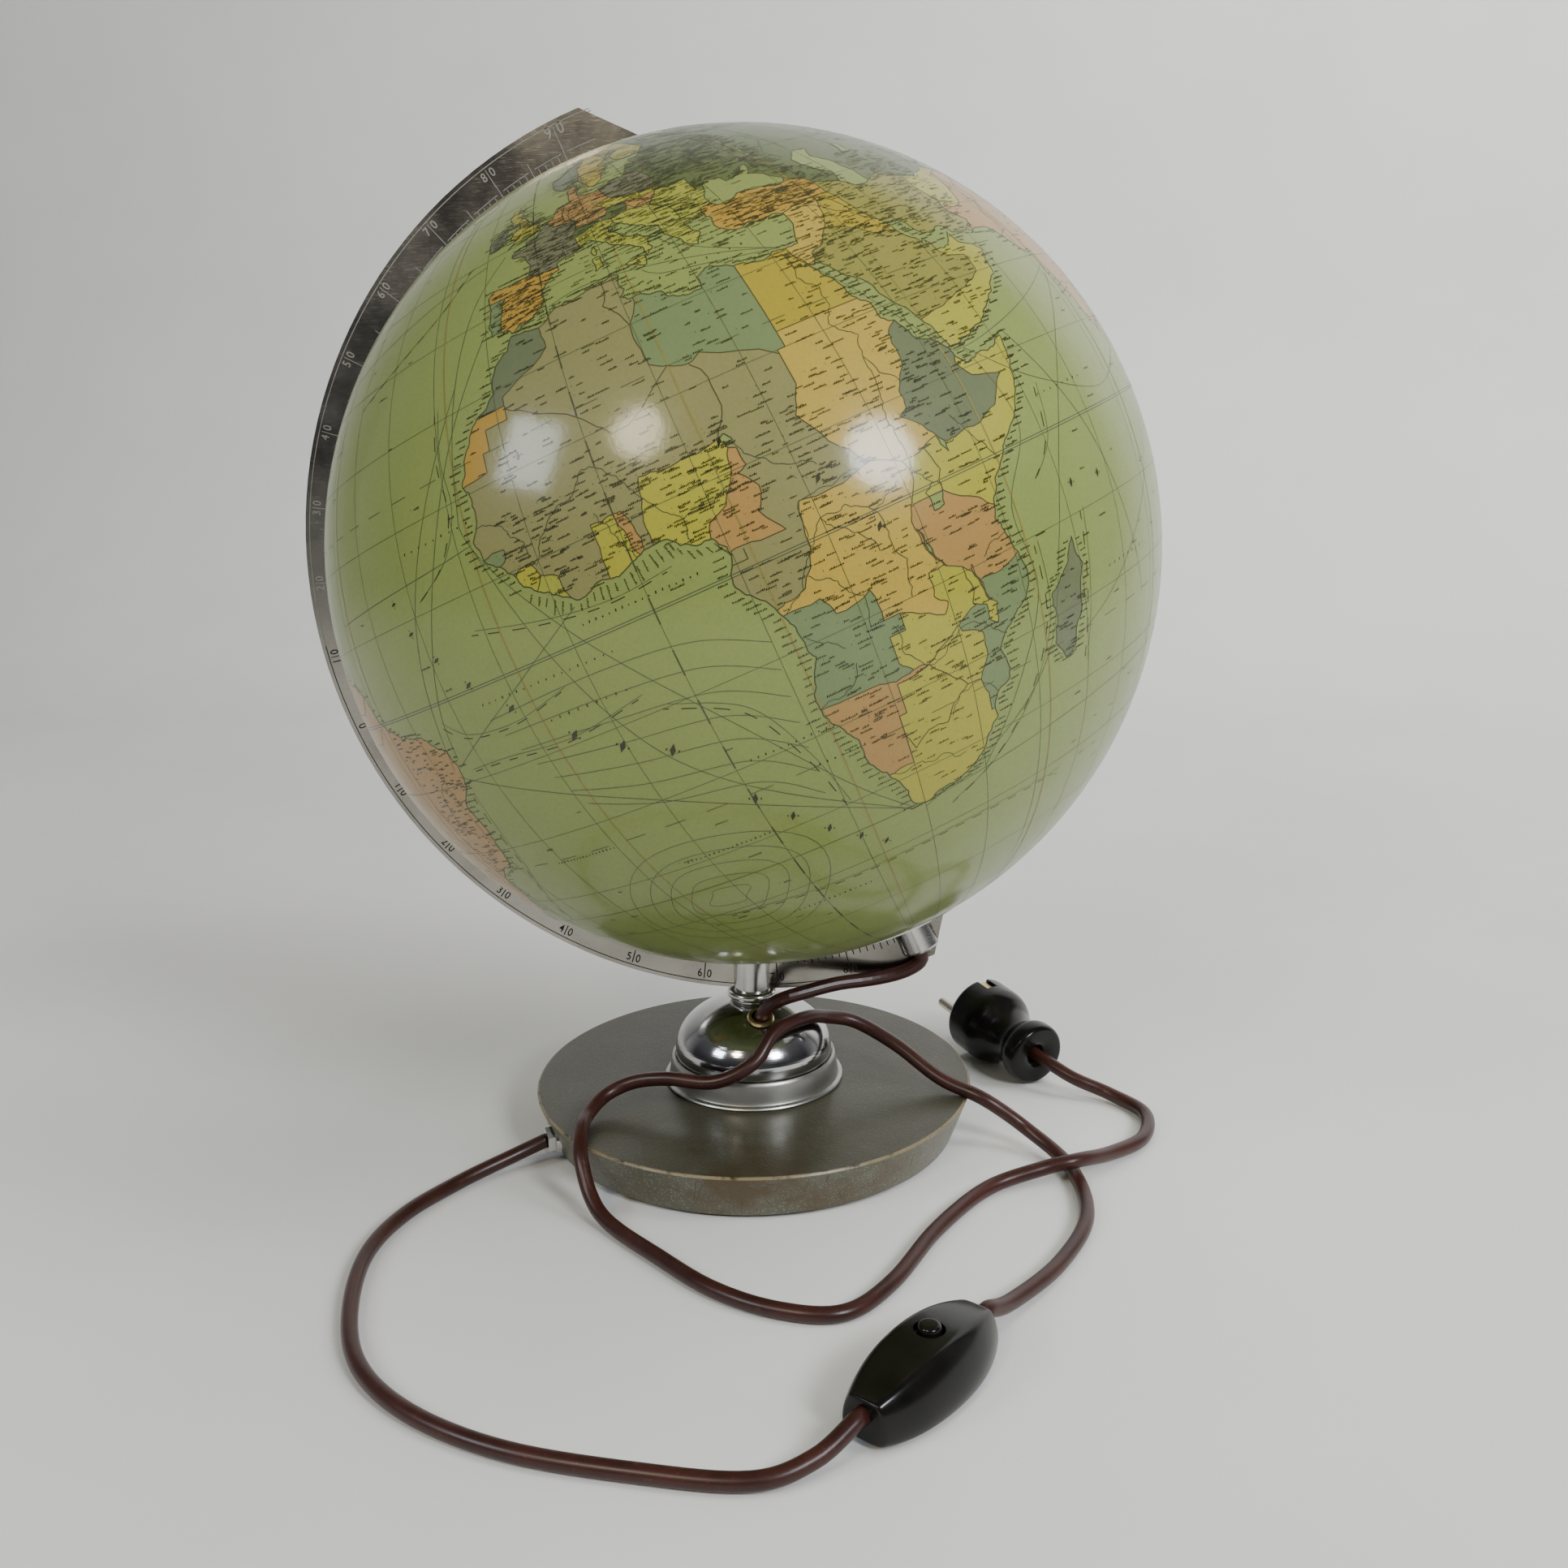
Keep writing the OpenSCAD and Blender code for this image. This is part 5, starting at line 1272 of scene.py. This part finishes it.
# the rocker's finger piece
nub_rings = []
for z, half in ((15.6, 4.1), (16.0, 4.4), (20.0, 4.4), (22.6, 4.2), (23.5, 3.6), (23.7, 2.4)):
    nub_rings.append([switch_point(ROCKER_X + half * math.cos(a), half * math.sin(a), z)
                      for a in (2 * math.pi * k / 12 for k in range(12))])
nub = loft("rocker_nub", nub_rings, 2)
place(nub, "rocker", "bakelite", "switch_rocker")
paint([nub], black)
# the two screws that hold the halves together, heads up in the foot
for name, end in (("screw_near", -1), ("screw_far", 1)):
    screw = tube(name, [switch_point(end * 19, -end * 8.5, z) for z in (1.8, 2.1, 4.0, 4.05, 12.0)],
                 2.2 * MM, 24)
    # the last two of the five rings are the thinner shank
    for v in screw.data.vertices[3 * 24:]:
        axis = switch_point(end * 19, -end * 8.5, 0)
        axis.z = v.co.z
        v.co = axis.lerp(v.co, 0.6)
    place(screw, "stand", "steel", "switch_screws")
    paint([screw], steel)

# ---------------------------------------------------------------- the plain band under the dome
BAND = [(33.0, 21.6), (38.8, 21.55), (39.5, 21.75), (39.8, 22.3), (39.5, 22.85), (38.8, 23.1), (38.0, 23.3),
        (37.7, 23.9), (37.45, 25.2), (37.1, 28.0), (36.6, 31.0), (36.2, 32.3), (35.7, 32.7), (35.0, 32.5),
        (34.95, 31.2), (33.0, 30.4)]
SIDES = 128
band = new_mesh("dome_band", [Vector((r * math.cos(a), r * math.sin(a), z)) * MM for r, z in BAND
                              for a in (2 * math.pi * k / SIDES for k in range(SIDES))],
                skin(len(BAND), SIDES, closed=True))
band.data.set_sharp_from_angle(angle=math.radians(35))
place(band, "stand", "bright", "dome_skirt")
paint([band], band_metal)


# ---------------------------------------------------------------- plug: a turned moulding with full shoulders
PLUG_C = Vector((102, 82, 19.92)) * MM
PLUG_M = Matrix.Rotation(math.radians(-54.6), 3, "Z") @ Matrix.Rotation(math.radians(96.5), 3, "Y")


def turned(name, profile, sides=72):
    """A solid of revolution round the plug's own axis."""
    verts = []
    for r, z in profile:
        verts += [PLUG_C + PLUG_M @ Vector((r * math.cos(a), r * math.sin(a), z)) * MM
                  for a in (2 * math.pi * k / sides for k in range(sides))]
    ob = new_mesh(name, verts, [(a, d, c, b) for a, b, c, d in skin(len(profile), sides, closed=True)])
    ob.data.set_sharp_from_angle(angle=math.radians(48))
    return ob


def curve_profile(pts, steps=6):
    """The profile's corners rounded off by a smooth curve through its points."""
    p = [pts[0]] + pts + [pts[-1]]
    out = []
    for i in range(1, len(p) - 2):
        a, b, c, d = (Vector(q) for q in p[i - 1:i + 3])
        for k in range(steps):
            out.append(tuple(curve_at(a, b, c, d, k / steps)))
    return out + [tuple(p[-2])]


cap = turned("plug_shell", curve_profile([
    (18.5, 9.05), (18.5, 12.5), (18.2, 15.5), (17.1, 18.6), (15.2, 21.6), (13.3, 24.6), (12.3, 27.8),
    (12.0, 30.8),
    (12.3, 33.6), (13.2, 36.2), (14.3, 38.2), (14.75, 40.2), (14.75, 43.6), (14.2, 45.6), (12.4, 46.75),
    (7.0, 46.4), (4.6, 45.0), (3.2, 42.0)]) + [(3.2, 36.0), (3.2, 20.0), (10.0, 9.05)])
slot_cut = []
for sx in (-1, 1):
    ring = [PLUG_C + PLUG_M @ Vector((x, y * 3.3, z)) * MM for z in (-2, 22.5) for x, y in
            ((sx * 15.2, -1), (sx * 15.2, 1), (sx * 24, 1), (sx * 24, -1))]
    slot_cut.append(new_mesh("clip_cutter", ring, [(0, 1, 2, 3), (7, 6, 5, 4), (0, 4, 5, 1), (1, 5, 6, 2),
                                                   (2, 6, 7, 3), (3, 7, 4, 0)]))
for c in slot_cut:
    mod = cap.modifiers.new("clip_slot", "BOOLEAN")
    mod.object = c
    mod.solver = "EXACT"
bpy.context.view_layer.update()
done = bpy.data.meshes.new_from_object(cap.evaluated_get(bpy.context.evaluated_depsgraph_get()))
cap.modifiers.clear()
cap.data = done
for c in slot_cut:
    bpy.data.objects.remove(c)
done.set_sharp_from_angle(angle=math.radians(48))
place(cap, "stand", "bakelite", "plug_cap")
paint([cap], black)


# ---------------------------------------------------------------- last update of the scene
bpy.context.view_layer.update()
